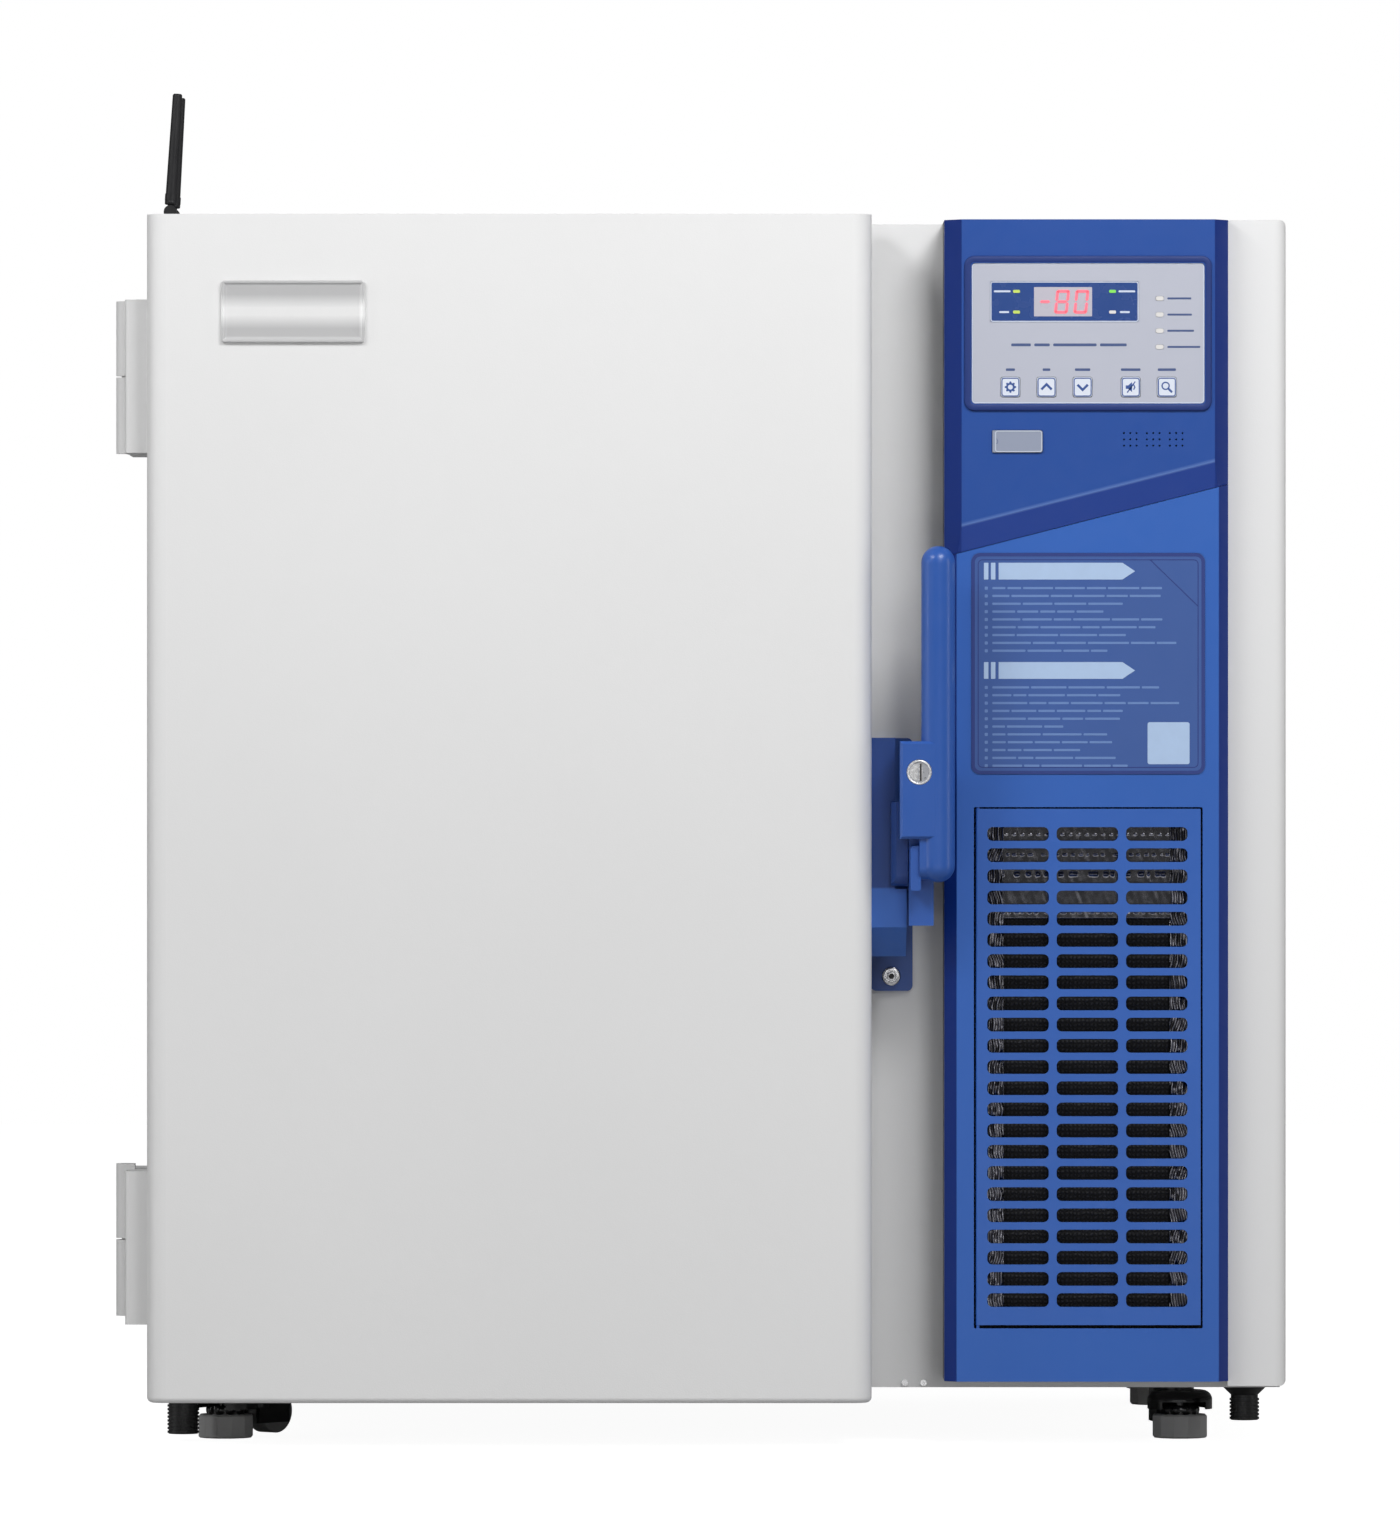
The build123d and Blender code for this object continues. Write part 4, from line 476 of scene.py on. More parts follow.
# %% Finishes onto the frame
finish_of = {
    "door_skin": white_coat, "outer_case": white_coat, "right_side_cover": white_coat, "base_frame": white_coat,
    "rear_grille": white_coat, "bay_frame": dark_coat, "door_liner": liner_coat, "door_foam": foam_cells,
    "foam_insulation": foam_cells, "door_gasket": seal_rubber, "hinge_door_leaves": hinge_coat,
    "hinge_cabinet_leaves": hinge_coat, "handle_base": base_block_painted_shade, "lever_handle": latch_plastic,
    "striker_plate": keeper_plastic, "lock_cylinder": bright_metal, "cabinet_screws": bright_metal,
    "nameplate": bright_metal, "inner_liner": liner_steel, "shelf": liner_steel, "inner_door_upper": liner_coat,
    "inner_door_lower": liner_coat, "refrigerant_lines": copper, "upper_fascia": upper_plastic_painted_band,
    "lower_fascia": lower_plastic, "grille_door": grille_plastic, "instruction_plate": plate_film,
    "membrane_panel": pale_overlay, "usb_cover": flap_plastic, "control_board": board_resin,
    "condenser_filter": filter_weave, "condenser_coil": fin_metal, "fan_motor": dark_coat,
    "fan_blades": gloss_black, "compressors": gloss_black, "electrical_box": dark_coat,
    "antenna_module": ribbed_black, "antenna_front": aerial_black, "antenna_rear": aerial_black,
    "levelling_leg_left": ribbed_black, "levelling_leg_right": ribbed_black, "rear_spacers": spacer_rubber,
    "display": gloss_black,
}
CORNERS = ("front_left", "front_right", "rear_left", "rear_right")
for corner in CORNERS:
    finish_of[f"caster_fork_{corner}"] = gloss_black
    finish_of[f"caster_wheel_{corner}"] = foot_plastic
    finish_of[f"caster_foot_{corner}"] = foot_grey
KEY_NAMES = ("set", "up", "down", "mute", "search")
for key in KEY_NAMES:
    finish_of[f"key_{key}"] = key_film


def dress(node, material):
    """Put one material on a node's object slots, leaving its mesh alone."""
    obj = nodes[node]
    if not obj.material_slots:
        obj.data.materials.append(material)
    for slot in obj.material_slots:
        slot.link = "OBJECT"
        slot.material = material


for node, material in finish_of.items():
    dress(node, material)
print("nodes with a finish:", len(finish_of), "left over:", sorted(set(nodes) - set(finish_of)))

# %% [markdown]
# Printed marks, lamps and the figures on the display are thin slabs that lie on the surface.
# A slab is two curves, left and right, walked together: at each station it has a front edge
# and a back edge, and quads join one station to the next. The same helper makes a bar, a
# ring, an arrow or an icon, where a texture image would be sharp only up close or only far away.

# %% Slabs from two curves
def slab(left, right, front, back, closed=False):
    """Closed slab between two curves in X and Z; closed=True joins the last station to the first."""
    left, right = np.asarray(left, float), np.asarray(right, float)
    count = len(left)
    points = np.zeros((count, 4, 3))
    points[:, 0, [0, 2]] = left
    points[:, 1, [0, 2]] = right
    points[:, 2, [0, 2]] = right
    points[:, 3, [0, 2]] = left
    points[:, :2, 1] = front
    points[:, 2:, 1] = back
    faces = [tuple(f) for f in grid_faces(count, 4, wrap_rows=closed, wrap_columns=True)]
    if not closed:
        last = (count - 1) * 4
        faces += [(0, 1, 2, 3), (last + 3, last + 2, last + 1, last)]
    return points.reshape(-1, 3), faces


def joined(solids):
    """Several slabs as one list of points and faces."""
    points, faces, start = [], [], 0
    for solid_points, solid_faces in solids:
        points.append(solid_points)
        faces += [tuple(int(v) + start for v in f) for f in solid_faces]
        start += len(solid_points)
    return np.concatenate(points), faces


def offset(path, distance, closed=False):
    """The path moved sideways: each point along the mean normal of its neighbours, lengthened at corners."""
    path = np.asarray(path, float)
    if closed:
        ahead, behind = np.roll(path, -1, 0) - path, path - np.roll(path, 1, 0)
    else:
        step = np.diff(path, axis=0)
        ahead, behind = np.vstack([step, step[-1:]]), np.vstack([step[:1], step])
    ahead = ahead / np.linalg.norm(ahead, axis=1, keepdims=True)
    behind = behind / np.linalg.norm(behind, axis=1, keepdims=True)
    normal = np.stack([-(ahead + behind)[:, 1], (ahead + behind)[:, 0]], axis=1)
    normal /= np.linalg.norm(normal, axis=1, keepdims=True)
    own = np.stack([-ahead[:, 1], ahead[:, 0]], axis=1)
    stretch = np.clip(1.0 / np.sum(normal * own, axis=1), 1.0, 2.5)
    return path + normal * (distance * stretch)[:, None]


def stroke(path, width, front, back, closed=False):
    """A line of the given width along a path."""
    return slab(offset(path, width / 2, closed), offset(path, -width / 2, closed), front, back, closed)


def rounded_outline(x0, x1, z0, z1, radius, steps=6):
    """Rounded rectangle as a closed path: four quarter circles, in turn."""
    turn = np.linspace(0, math.pi / 2, steps)
    parts = []
    for k, (cx, cz) in enumerate(((x1 - radius, z1 - radius), (x0 + radius, z1 - radius),
                                  (x0 + radius, z0 + radius), (x1 - radius, z0 + radius))):
        angle = turn + k * math.pi / 2
        parts.append(np.stack([cx + radius * np.cos(angle), cz + radius * np.sin(angle)], axis=1))
    return np.concatenate(parts)


def inset_outline(x, z, inward, radius, steps=6):
    """Rounded rectangle drawn in by the same distance on all four sides of a box."""
    return rounded_outline(x[0] + inward, x[1] - inward, z[0] + inward, z[1] - inward, radius, steps)


def rounded_bar(x0, x1, z0, z1, radius, front, back, steps=6):
    """Filled rounded rectangle: stations run along X, and its height follows the corner circles."""
    turn = np.linspace(0, math.pi / 2, steps)
    run = np.concatenate([x0 + radius * (1 - np.cos(turn)), x1 - radius * (1 - np.cos(turn[::-1]))])
    drop = np.concatenate([radius * (1 - np.sin(turn)), radius * (1 - np.sin(turn[::-1]))])
    return slab(np.stack([run, z1 - drop], 1), np.stack([run, z0 + drop], 1), front, back)


def disc(cx, cz, radius, front, back, steps=24):
    """Filled circle: half the turn on the left curve, the other half on the right."""
    turn = np.linspace(0.06, math.pi - 0.06, steps)
    x = cx + radius * np.cos(turn)
    rise = radius * np.sin(turn)
    return slab(np.stack([x, cz + rise], 1), np.stack([x, cz - rise], 1), front, back)


def piece(name, solids, material, body):
    """Slabs as one object that rides on a body."""
    points, faces = joined(solids)
    obj = new_object(name, points, faces, material)
    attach(obj, body)
    return obj


def seated(name, points, faces, material, body, outward=True):
    """A smooth surface as one object that rides on a body."""
    obj = new_object(name, points, faces, material, smooth=True, outward=outward)
    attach(obj, body)
    return obj


PRINT_RISE = 0.08 * MM
SINK = 0.05 * MM


def ink_bar(x0, x1, z0, z1, radius, surface):
    """Printed bar: it stands PRINT_RISE out of the surface and reaches SINK into it."""
    return rounded_bar(x0, x1, z0, z1, radius, surface - PRINT_RISE, surface + SINK)


def ink_line(path, width, surface, closed=True):
    """Printed line of the same thickness along a path."""
    return stroke(path, width, surface - PRINT_RISE, surface + SINK, closed)


# %% [markdown]
# The display window is a blue pane with a thin white border. Behind a clear strip stands the
# lit screen with its three figures, each made of up to seven bars, and two pairs of small
# window lamps. The bars lean a few degrees, as on every seven-bar display.

# %% Display window, screen and figures
membrane_low, membrane_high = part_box("membrane_panel")
WINDOW_LEFT = 13.2 * MM
WINDOW_TOP = 13.0 * MM
WINDOW_WIDTH = 106.2 * MM
WINDOW_HEIGHT = 29.1 * MM
SCREEN_LEFT = 31.3 * MM
SCREEN_WIDTH = 41.5 * MM
SCREEN_HEIGHT = 20.9 * MM
FIGURE_HEIGHT = 17.0 * MM
FIGURE_WIDTH = 9.8 * MM
BAR = 2.0 * MM
LEAN = math.tan(math.radians(6))
FIGURE_LEFTS = (2.0 * MM, 14.2 * MM, 28.0 * MM)

window_x = (membrane_low.x + WINDOW_LEFT, membrane_low.x + WINDOW_LEFT + WINDOW_WIDTH)
window_z = (membrane_high.z - WINDOW_TOP - WINDOW_HEIGHT, membrane_high.z - WINDOW_TOP)
window_mid = sum(window_z) / 2
film_front = membrane_low.y
screen_x = (window_x[0] + SCREEN_LEFT, window_x[0] + SCREEN_LEFT + SCREEN_WIDTH)
screen_z = (window_mid - SCREEN_HEIGHT / 2, window_mid + SCREEN_HEIGHT / 2)

pane_blue = moulded("display_pane_blue", srgb(48, 76, 138), 0.25, 0.02)
border_white = printed("white_border_print", srgb(214, 222, 236))
screen_pale = moulded("lit_screen_pale", srgb(190, 187, 198), 0.3, 0.02)


def glowing(name, colour, strength):
    """A lit lamp or figure: the same colour as pigment and as faint light."""
    finish = Finish(name, roughness=0.35)
    finish.drift(colour, 0.03, 400.0)
    finish.shader.inputs["Emission Color"].default_value = colour
    finish.shader.inputs["Emission Strength"].default_value = strength
    return finish.material


figure_red = glowing("lit_figure_red", srgb(238, 112, 128), 0.45)
lamp_green = glowing("lit_lamp_green", srgb(176, 196, 92), 0.35)
lamp_bright = glowing("lit_lamp_bright_green", srgb(118, 200, 84), 0.4)
lamp_clear = moulded("unlit_lamp_clear", srgb(226, 224, 222), 0.25, 0.01)

pane = piece("display_pane", [rounded_bar(*window_x, *window_z, 1.6 * MM, film_front - 0.02 * MM,
                                          film_front + 1.0 * MM)], pane_blue, "cabinet")
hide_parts("display")
border = inset_outline(window_x, window_z, 0.5 * MM, 1.4 * MM)
pane_front = film_front - 0.02 * MM
piece("display_border", [ink_line(border, 0.7 * MM, pane_front)], border_white, "cabinet")
screen = rounded_bar(*screen_x, *screen_z, 0.4 * MM, pane_front - 0.05 * MM, pane_front + SINK)
piece("display_screen", [screen], screen_pale, "cabinet")


def figure_bars(left, low, lit, front):
    """The lit bars of one figure, sheared so that the top leans to the right."""
    w, h, t, gap = FIGURE_WIDTH, FIGURE_HEIGHT, BAR, 0.3 * MM
    half_height = h / 2
    bars = {
        "a": (gap, h - t, w - gap, h), "d": (gap, 0, w - gap, t),
        "g": (t * 0.6, half_height - t / 2, w - t * 0.6, half_height + t / 2),
        "f": (0, half_height + gap, t, h - gap), "e": (0, gap, t, half_height - gap),
        "b": (w - t, half_height + gap, w, h - gap), "c": (w - t, gap, w, half_height - gap),
    }
    solids = []
    for bar_name in lit:
        x0, z0, x1, z1 = bars[bar_name]
        cut = 0.55 * t
        if bar_name in "adg":
            run = np.array([x0, x0 + cut, x1 - cut, x1])
            top = np.array([z1 - t / 2, z1, z1, z1 - t / 2])
            bottom = np.array([z0 + t / 2, z0, z0, z0 + t / 2]) - 1e-6
            upper, lower = np.stack([run, top], 1), np.stack([run, bottom], 1)
        else:
            climb = np.array([z0, z0 + cut, z1 - cut, z1])
            near = np.array([x0 + t / 2, x0, x0, x0 + t / 2])
            far = np.array([x1 - t / 2, x1, x1, x1 - t / 2]) + 1e-6
            upper, lower = np.stack([near, climb], 1), np.stack([far, climb], 1)
        for curve in (upper, lower):
            curve[:, 0] += LEAN * curve[:, 1] + left
            curve[:, 1] += low
        solids.append(slab(upper, lower, front, front + 0.3 * MM))
    return solids


figures = []
for left, lit in zip(FIGURE_LEFTS, ("g", "abcdefg", "abcdef")):
    figures += figure_bars(screen_x[0] + left, window_mid - FIGURE_HEIGHT / 2, lit, pane_front - 0.25 * MM)
piece("display_figures", figures, figure_red, "cabinet")

LAMP_WIDTH = 5.0 * MM
LAMP_HEIGHT = 2.2 * MM
LAMP_INSET = 18.8 * MM
LAMP_SPREAD = 14.8 * MM
lamp_left, lamp_right = window_x[0] + LAMP_INSET, window_x[1] - LAMP_INSET
lamp_places = {
    "lamp_locked": (lamp_left, 1, lamp_green), "lamp_run": (lamp_left, -1, lamp_green),
    "lamp_power": (lamp_right, 1, lamp_bright), "lamp_alarm": (lamp_right, -1, lamp_clear),
}
for name, (x, side, material) in lamp_places.items():
    z = window_mid + side * LAMP_SPREAD / 2
    lens = rounded_bar(x - LAMP_WIDTH / 2, x + LAMP_WIDTH / 2, z - LAMP_HEIGHT / 2, z + LAMP_HEIGHT / 2,
                       0.9 * MM, pane_front - 0.3 * MM, pane_front + SINK)
    piece(name, [lens], material, "cabinet")

# %% [markdown]
# Four round-ended lamps stand to the right of the window. Plain short bars beside them, beside
# the window lamps and above the keys give the overlay the rhythm of a printed sheet. Flat
# pigment could also be mixed in the film's material, but a thin slab keeps its edge sharp.

# %% Side lamps and plain bars
OVAL_WIDTH = 5.7 * MM
OVAL_HEIGHT = 3.2 * MM
OVAL_RIGHT = 32.0 * MM
OVAL_TOP = 25.2 * MM
OVAL_PITCH = 11.55 * MM
bar_ink = printed("blue_bar_print", srgb(70, 88, 134))
white_ink = printed("white_bar_print", srgb(206, 216, 234))
oval_x = membrane_high.x - OVAL_RIGHT
ovals, side_bars = [], []
for row, length in enumerate((17.0, 17.5, 19.0, 23.5)):
    z = membrane_high.z - OVAL_TOP - row * OVAL_PITCH
    ovals.append(rounded_bar(oval_x - OVAL_WIDTH / 2, oval_x + OVAL_WIDTH / 2, z - OVAL_HEIGHT / 2,
                             z + OVAL_HEIGHT / 2, OVAL_HEIGHT / 2 - 0.05 * MM, film_front - 0.35 * MM,
                             film_front + 0.9 * MM))
    start = oval_x + 5.5 * MM
    side_bars.append(ink_bar(start, start + length * MM, z - 0.7 * MM, z + 0.7 * MM, 0.5 * MM, film_front))
piece("side_lamps", ovals, lamp_clear, "cabinet")

title_z = window_z[0] - 16.3 * MM
title_x = window_x[0] + 15.0 * MM
for start, length in ((0.0, 14.0), (16.5, 11.0), (30.0, 31.0), (63.5, 19.0)):
    side_bars.append(ink_bar(title_x + start * MM, title_x + (start + length) * MM, title_z - 1.0 * MM,
                             title_z + 1.0 * MM, 0.6 * MM, film_front))
key_boxes = {key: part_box(f"key_{key}") for key in KEY_NAMES}
for key, length in zip(KEY_NAMES, (6.5, 5.5, 11.0, 14.0, 13.0)):
    low, high = key_boxes[key]
    middle = (low.x + high.x) / 2
    z = high.z + 5.4 * MM
    side_bars.append(ink_bar(middle - length / 2 * MM, middle + length / 2 * MM, z - 0.9 * MM, z + 0.9 * MM,
                             0.6 * MM, film_front))
piece("overlay_bars", side_bars, bar_ink, "cabinet")
edge = inset_outline((membrane_low.x, membrane_high.x), (membrane_low.z, membrane_high.z), 0.5 * MM, 2.2 * MM)
piece("overlay_edge_line", [ink_line(edge, 0.6 * MM, film_front)], border_white, "cabinet")

window_bars = []
for x0, x1, side in ((2.6, 14.5, 1), (6.5, 13.5, -1)):
    for mirror in (False, True):
        ends = (window_x[0] + x0 * MM, window_x[0] + x1 * MM)
        if mirror:
            ends = (window_x[1] - x1 * MM, window_x[1] - x0 * MM)
        z = window_mid + side * LAMP_SPREAD / 2
        window_bars.append(ink_bar(*ends, z - 0.7 * MM, z + 0.7 * MM, 0.5 * MM, pane_front))
piece("window_bars", window_bars, white_ink, "cabinet")

# %% [markdown]
# Each key carries a blue frame and a pictogram: a cog, two arrowheads, a struck-out
# loudspeaker and a magnifying glass. Every icon is drawn by its own short formula in
# millimetres around the key's centre, and rides on its key, so it moves when the key is pressed.

# %% Key frames and pictograms
icon_ink = printed("blue_icon_print", srgb(52, 84, 150))
KEY_RIM = 0.75 * MM


def cog_icon():
    """Ring whose outer radius steps between two values eight times round."""
    turn = np.linspace(0, 2 * math.pi, 96, endpoint=False)
    tooth = 0.5 + 0.5 * np.tanh(6 * np.cos(8 * turn))
    outer = 3.1 + 0.95 * tooth
    ring = np.stack([np.cos(turn), np.sin(turn)], 1)
    return [(ring * outer[:, None], ring * 1.75, True)]


def line_icon(points, width):
    path = np.array(points, float)
    return [(offset(path, width / 2), offset(path, -width / 2), False)]


def speaker_icon():
    """Box and cone of a loudspeaker, and a stroke across it."""
    top = np.array([(-3.6, 1.2), (-1.8, 1.2), (0.9, 3.6), (0.9001, 3.6)])
    bottom = top * (1, -1)
    strike = np.array([(-2.6, -4.0), (3.2, 4.0)])
    waves = np.array([(2.0, -1.8), (3.0, 0.0), (2.0, 1.8)])
    return ([(top, bottom, False)] + [(offset(strike, 0.4), offset(strike, -0.4), False)]
            + [(offset(waves, 0.4), offset(waves, -0.4), False)])


def glass_icon():
    """Ring with a handle towards the lower right."""
    turn = np.linspace(0, 2 * math.pi, 48, endpoint=False)
    ring = np.stack([np.cos(turn), np.sin(turn)], 1)
    centre = np.array([-0.9, 0.9])
    lens = (centre + ring * 3.0, centre + ring * 2.05, True)
    return [lens] + line_icon([(1.2, -1.2), (3.7, -3.7)], 1.5)


icons = {
    "set": cog_icon(), "up": line_icon([(-3.7, -1.7), (0, 2.0), (3.7, -1.7)], 1.7),
    "down": line_icon([(-3.7, 1.7), (0, -2.0), (3.7, 1.7)], 1.7), "mute": speaker_icon(), "search": glass_icon(),
}
for key in KEY_NAMES:
    low, high = key_boxes[key]
    centre = np.array([(low.x + high.x) / 2, (low.z + high.z) / 2])
    face = low.y
    rim = inset_outline((low.x, high.x), (low.z, high.z), KEY_RIM, 1.6 * MM)
    solids = [ink_line(rim, KEY_RIM, face)]
    for left, right, closed in icons[key]:
        solids.append(slab(centre + left * MM, centre + right * MM, face - PRINT_RISE, face + SINK, closed))
    piece(f"icon_{key}", solids, icon_ink, f"key_{key}")

# %% [markdown]
# The raised frame around the overlay is navy and softly domed. It is one profile, a low arch,
# carried round a rounded rectangle: as a grid, one parameter walks the outline and the other
# climbs over the arch.

# %% Bezel frame
BEZEL_BORDER = 5.2 * MM
BEZEL_RADIUS = 7.0 * MM


def framed_ring(name, x, z, radius, profile, material, body, steps=10):
    """Closed ring: each (inset, y) pair of the profile is one rounded rectangle, drawn in by its inset."""
    rings = []
    for inward, y in profile:
        outline = inset_outline(x, z, inward, max(radius - inward, 0.4 * MM), steps)
        rings.append(np.stack([outline[:, 0], np.full(len(outline), y), outline[:, 1]], 1))
    points = np.array(rings)
    faces = grid_faces(len(profile), points.shape[1], wrap_rows=True, wrap_columns=True)
    return seated(name, points, faces, material, body)


bezel_x = (membrane_low.x - BEZEL_BORDER, membrane_high.x + BEZEL_BORDER)
bezel_z = (membrane_low.z - BEZEL_BORDER, membrane_high.z + BEZEL_BORDER)
bezel_front = panel_low.y
rise = 0.35 * MM
arch = np.linspace(0, math.pi, 9)
arch_profile = [(BEZEL_BORDER / 2 * (1 - math.cos(a)) - 0.15 * MM,
                 bezel_front + 1.6 * MM - (1.6 * MM + rise) * math.sin(a) ** 0.35) for a in arch]
bezel_navy = moulded("bezel_navy_plastic", srgb(20, 48, 116), 0.55)
framed_ring("bezel_frame", bezel_x, bezel_z, BEZEL_RADIUS, arch_profile, bezel_navy, "cabinet")

# %% [markdown]
# The plate between the control panel and the grille is a blue film: a navy frame with a finer
# line inside, a cut corner, two pale arrow banners and rows of plain bars. The lengths of the
# bars come from a seeded random generator, so they are the same in every run.

# %% Instruction plate print
plate_low, plate_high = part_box("instruction_plate")
plate_front = plate_low.y
navy_ink = printed("navy_frame_print", srgb(38, 58, 128))
pale_ink = printed("pale_banner_print", srgb(176, 200, 232))
soft_ink = printed("soft_row_print", srgb(104, 136, 192))


def mark(x0, x1, z0, z1, radius=0.5):
    """A filled bar on the plate, from millimetres inside its left and top edges."""
    return ink_bar(plate_low.x + x0 * MM, plate_low.x + x1 * MM, plate_high.z - z1 * MM, plate_high.z - z0 * MM,
                   radius * MM, plate_front)


frame_lines = []
for inward, width in ((1.3, 2.4), (4.9, 0.7)):
    ring = inset_outline((plate_low.x, plate_high.x), (plate_low.z, plate_high.z), inward * MM,
                         (6.0 - inward * 0.6) * MM)
    frame_lines.append(ink_line(ring, width * MM, plate_front))
corner = np.array([(plate_high.x - 39 * MM, plate_high.z - 5 * MM),
                   (plate_high.x - 5 * MM, plate_high.z - 38 * MM)])
frame_lines.append(ink_line(corner, 0.7 * MM, plate_front, closed=False))
piece("plate_frame_lines", frame_lines, navy_ink, "cabinet")


def arrow_banner(top, length=108.0, height=12.0, tip=9.0, start=9.0):
    """Two short bars, then a long bar whose right end narrows to a point."""
    solids = [mark(start + shift, start + shift + 3.2, top, top + height, 0.3) for shift in (0, 5)]
    end = start + length
    x = plate_low.x + np.array([start + 10.5, end - tip, end - tip / 2, end]) * MM
    middle = plate_high.z - (top + height / 2) * MM
    reach = np.array([height / 2, height / 2, height / 4, 0.02]) * MM
    solids.append(slab(np.stack([x, middle + reach], 1), np.stack([x, middle - reach], 1),
                       plate_front - PRINT_RISE, plate_front + SINK))
    return solids


banners = arrow_banner(7.0) + arrow_banner(78.0)
piece("plate_banners", banners, pale_ink, "cabinet")
rows = []
ROW_STEP = 5.6
for top, count in ((24.0, 9), (95.0, 11)):
    for row in range(count):
        down = top + row * ROW_STEP
        start = 11.0
        limit = 154.0 if down < 112.0 else 116.0
        end = start + 4.0
        rows.append(mark(start - 1.5, start + 0.8, down, down + 2.3, 0.6))
        goal = rng.uniform(0.62, 0.98) * limit
        while end < goal - 8:
            length = rng.uniform(9, 30)
            stop = min(end + length, goal)
            rows.append(mark(end, stop, down + 0.3, down + 1.9, 0.5))
            end = stop + 1.4
piece("plate_rows", rows, soft_ink, "cabinet")
piece("plate_blank_square", [mark(126.0, 156.0, 121.0, 151.0, 1.5)], pale_ink, "cabinet")

# %% [markdown]
# The badge is bare metal with a raised edge. Its field is gently hollow, like the real one, and its colour is a
# painted reflection, palest across the middle. The profile runs from the back edge over the rim and down into
# the field, and the middle closes on a nearly flat bottom.

# %% Bare badge
badge_low, badge_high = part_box("nameplate")


def satin_badge_painted_reflection(name, middle, half_height):
    """Satin silver with a painted reflection: the colour is palest across the middle, as a hollow plate looks
    when it mirrors a window.
    """
    finish = Finish(name, roughness=0.36, metallic=0.3)
    away = finish.node("ShaderNodeMath", operation="SUBTRACT")
    away.inputs[1].default_value = middle
    finish.link(finish.axis("Z"), away.inputs[0])
    distance = finish.node("ShaderNodeMath", operation="ABSOLUTE")
    finish.link(away.outputs[0], distance.inputs[0])
    # Painted reflection: the colour is palest across the middle and greyer towards the top and bottom.
    reflection_share = finish.spread(distance.outputs[0], 1.0, 0.0, 0.12 * half_height, 0.55 * half_height)
    finish.colour(finish.mix(reflection_share, (0.62, 0.62, 0.625, 1.0), (1.0, 1.0, 1.0, 1.0)))
    finish.rough(0.3, 0.4, 60.0, (40, 1, 1))
    return finish.bump(500.0, 0.00001, 0.15, 2.0, (0.03, 1, 1)).material


badge_painted_reflection = satin_badge_painted_reflection("satin_badge_painted_reflection_metal", (badge_low.z + badge_high.z) / 2,
                          (badge_high.z - badge_low.z) / 2)


def dished_slab(name, low, high, radius, profile, material, body):
    """Solid from rounded rectangles: the first ring is the back edge, the last is closed by a face."""
    rings = []
    for inward, y in profile:
        outline = inset_outline((low.x, high.x), (low.z, high.z), inward, max(radius - inward, 0.3 * MM), 8)
        rings.append(np.stack([outline[:, 0], np.full(len(outline), y), outline[:, 1]], 1))
    points = np.array(rings)
    return seated(name, points, capped_faces(*points.shape[:2]), material, body)


back_y, front_y = badge_high.y, badge_low.y
hollow = np.linspace(0, 1, 10)
badge_profile = [(0, back_y), (0, front_y + 0.5 * MM), (0.15 * MM, front_y + 0.15 * MM), (0.5 * MM, front_y),
                 (1.6 * MM, front_y), (2.0 * MM, front_y + 0.25 * MM), (2.3 * MM, front_y + 0.9 * MM)]
badge_profile += [(2.3 * MM + 19.0 * MM * t, front_y + (0.9 + 0.35 * math.sin(t * math.pi / 2)) * MM)
                  for t in hollow[1:]]
badge = dished_slab("bare_badge", badge_low, badge_high, 2.0 * MM, badge_profile, badge_painted_reflection, "door")
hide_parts("nameplate")

# %% [markdown]
# The lock and the keeper screw are turned metal. A turned solid is a list of radius and depth pairs carried
# round a point on the front; both ends are closed by a flat face. The lock has a bright rim, a sunk face with a
# raised half-moon, and a slot that is a dark slab of painted shadow. The screw gets a rounded flange, a dome and
# a six-sided recess, also a dark slab of painted shadow.

# %% Lock and keeper screw
def turned_solid(profile, cx, cz, steps=48):
    """Solid of revolution about a line along Y: (radius, y) pairs, closed at both ends."""
    turn = np.linspace(0, 2 * math.pi, steps, endpoint=False)
    rings = [np.stack([cx + r * np.cos(turn), np.full(steps, y), cz + r * np.sin(turn)], 1) for r, y in profile]
    return np.concatenate(rings), capped_faces(len(profile), steps)


def plated(name, colour, roughness, metallic=0.6):
    """Bright plating that also scatters some light, so that it stays pale in a dim room."""
    finish = Finish(name, roughness=roughness, metallic=metallic)
    finish.drift(colour, 0.06, 300.0).rough(roughness - 0.05, roughness + 0.1, 500.0)
    return finish.bump(900.0, 0.00003, 0.3).material


polished = plated("polished_rim_metal", (0.92, 0.92, 0.93, 1.0), 0.22)
sunk_metal = plated("sunk_grey_metal", (0.5, 0.51, 0.55, 1.0), 0.3)
slot_painted_shadow = moulded("dark_slot_shadow", srgb(44, 42, 46), 0.5)
lock_low, lock_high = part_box("lock_cylinder")
LOCK_RADIUS = (lock_high.x - lock_low.x) / 2
lock_x, lock_z = (lock_low.x + lock_high.x) / 2, lock_low.z + LOCK_RADIUS
front = lock_low.y
barrel_back = lock_high.y - 2.5 * MM
barrel = [(LOCK_RADIUS - drop * MM, front + deep * MM) for drop, deep in
          ((0, 1.2), (0.1, 0.6), (0.45, 0.15), (0.9, 0), (1.3, 0.1), (1.7, 0.5), (1.9, 1.1))]
cam = rounded_bar(lock_x - 3 * MM, lock_x + 3 * MM, lock_z - 3 * MM, lock_high.z, 1.5 * MM, barrel_back,
                  lock_high.y)
turned_barrel = turned_solid([(LOCK_RADIUS, barrel_back)] + barrel, lock_x, lock_z)
lock_body = piece("lock_barrel", [turned_barrel, cam], polished, "lock")
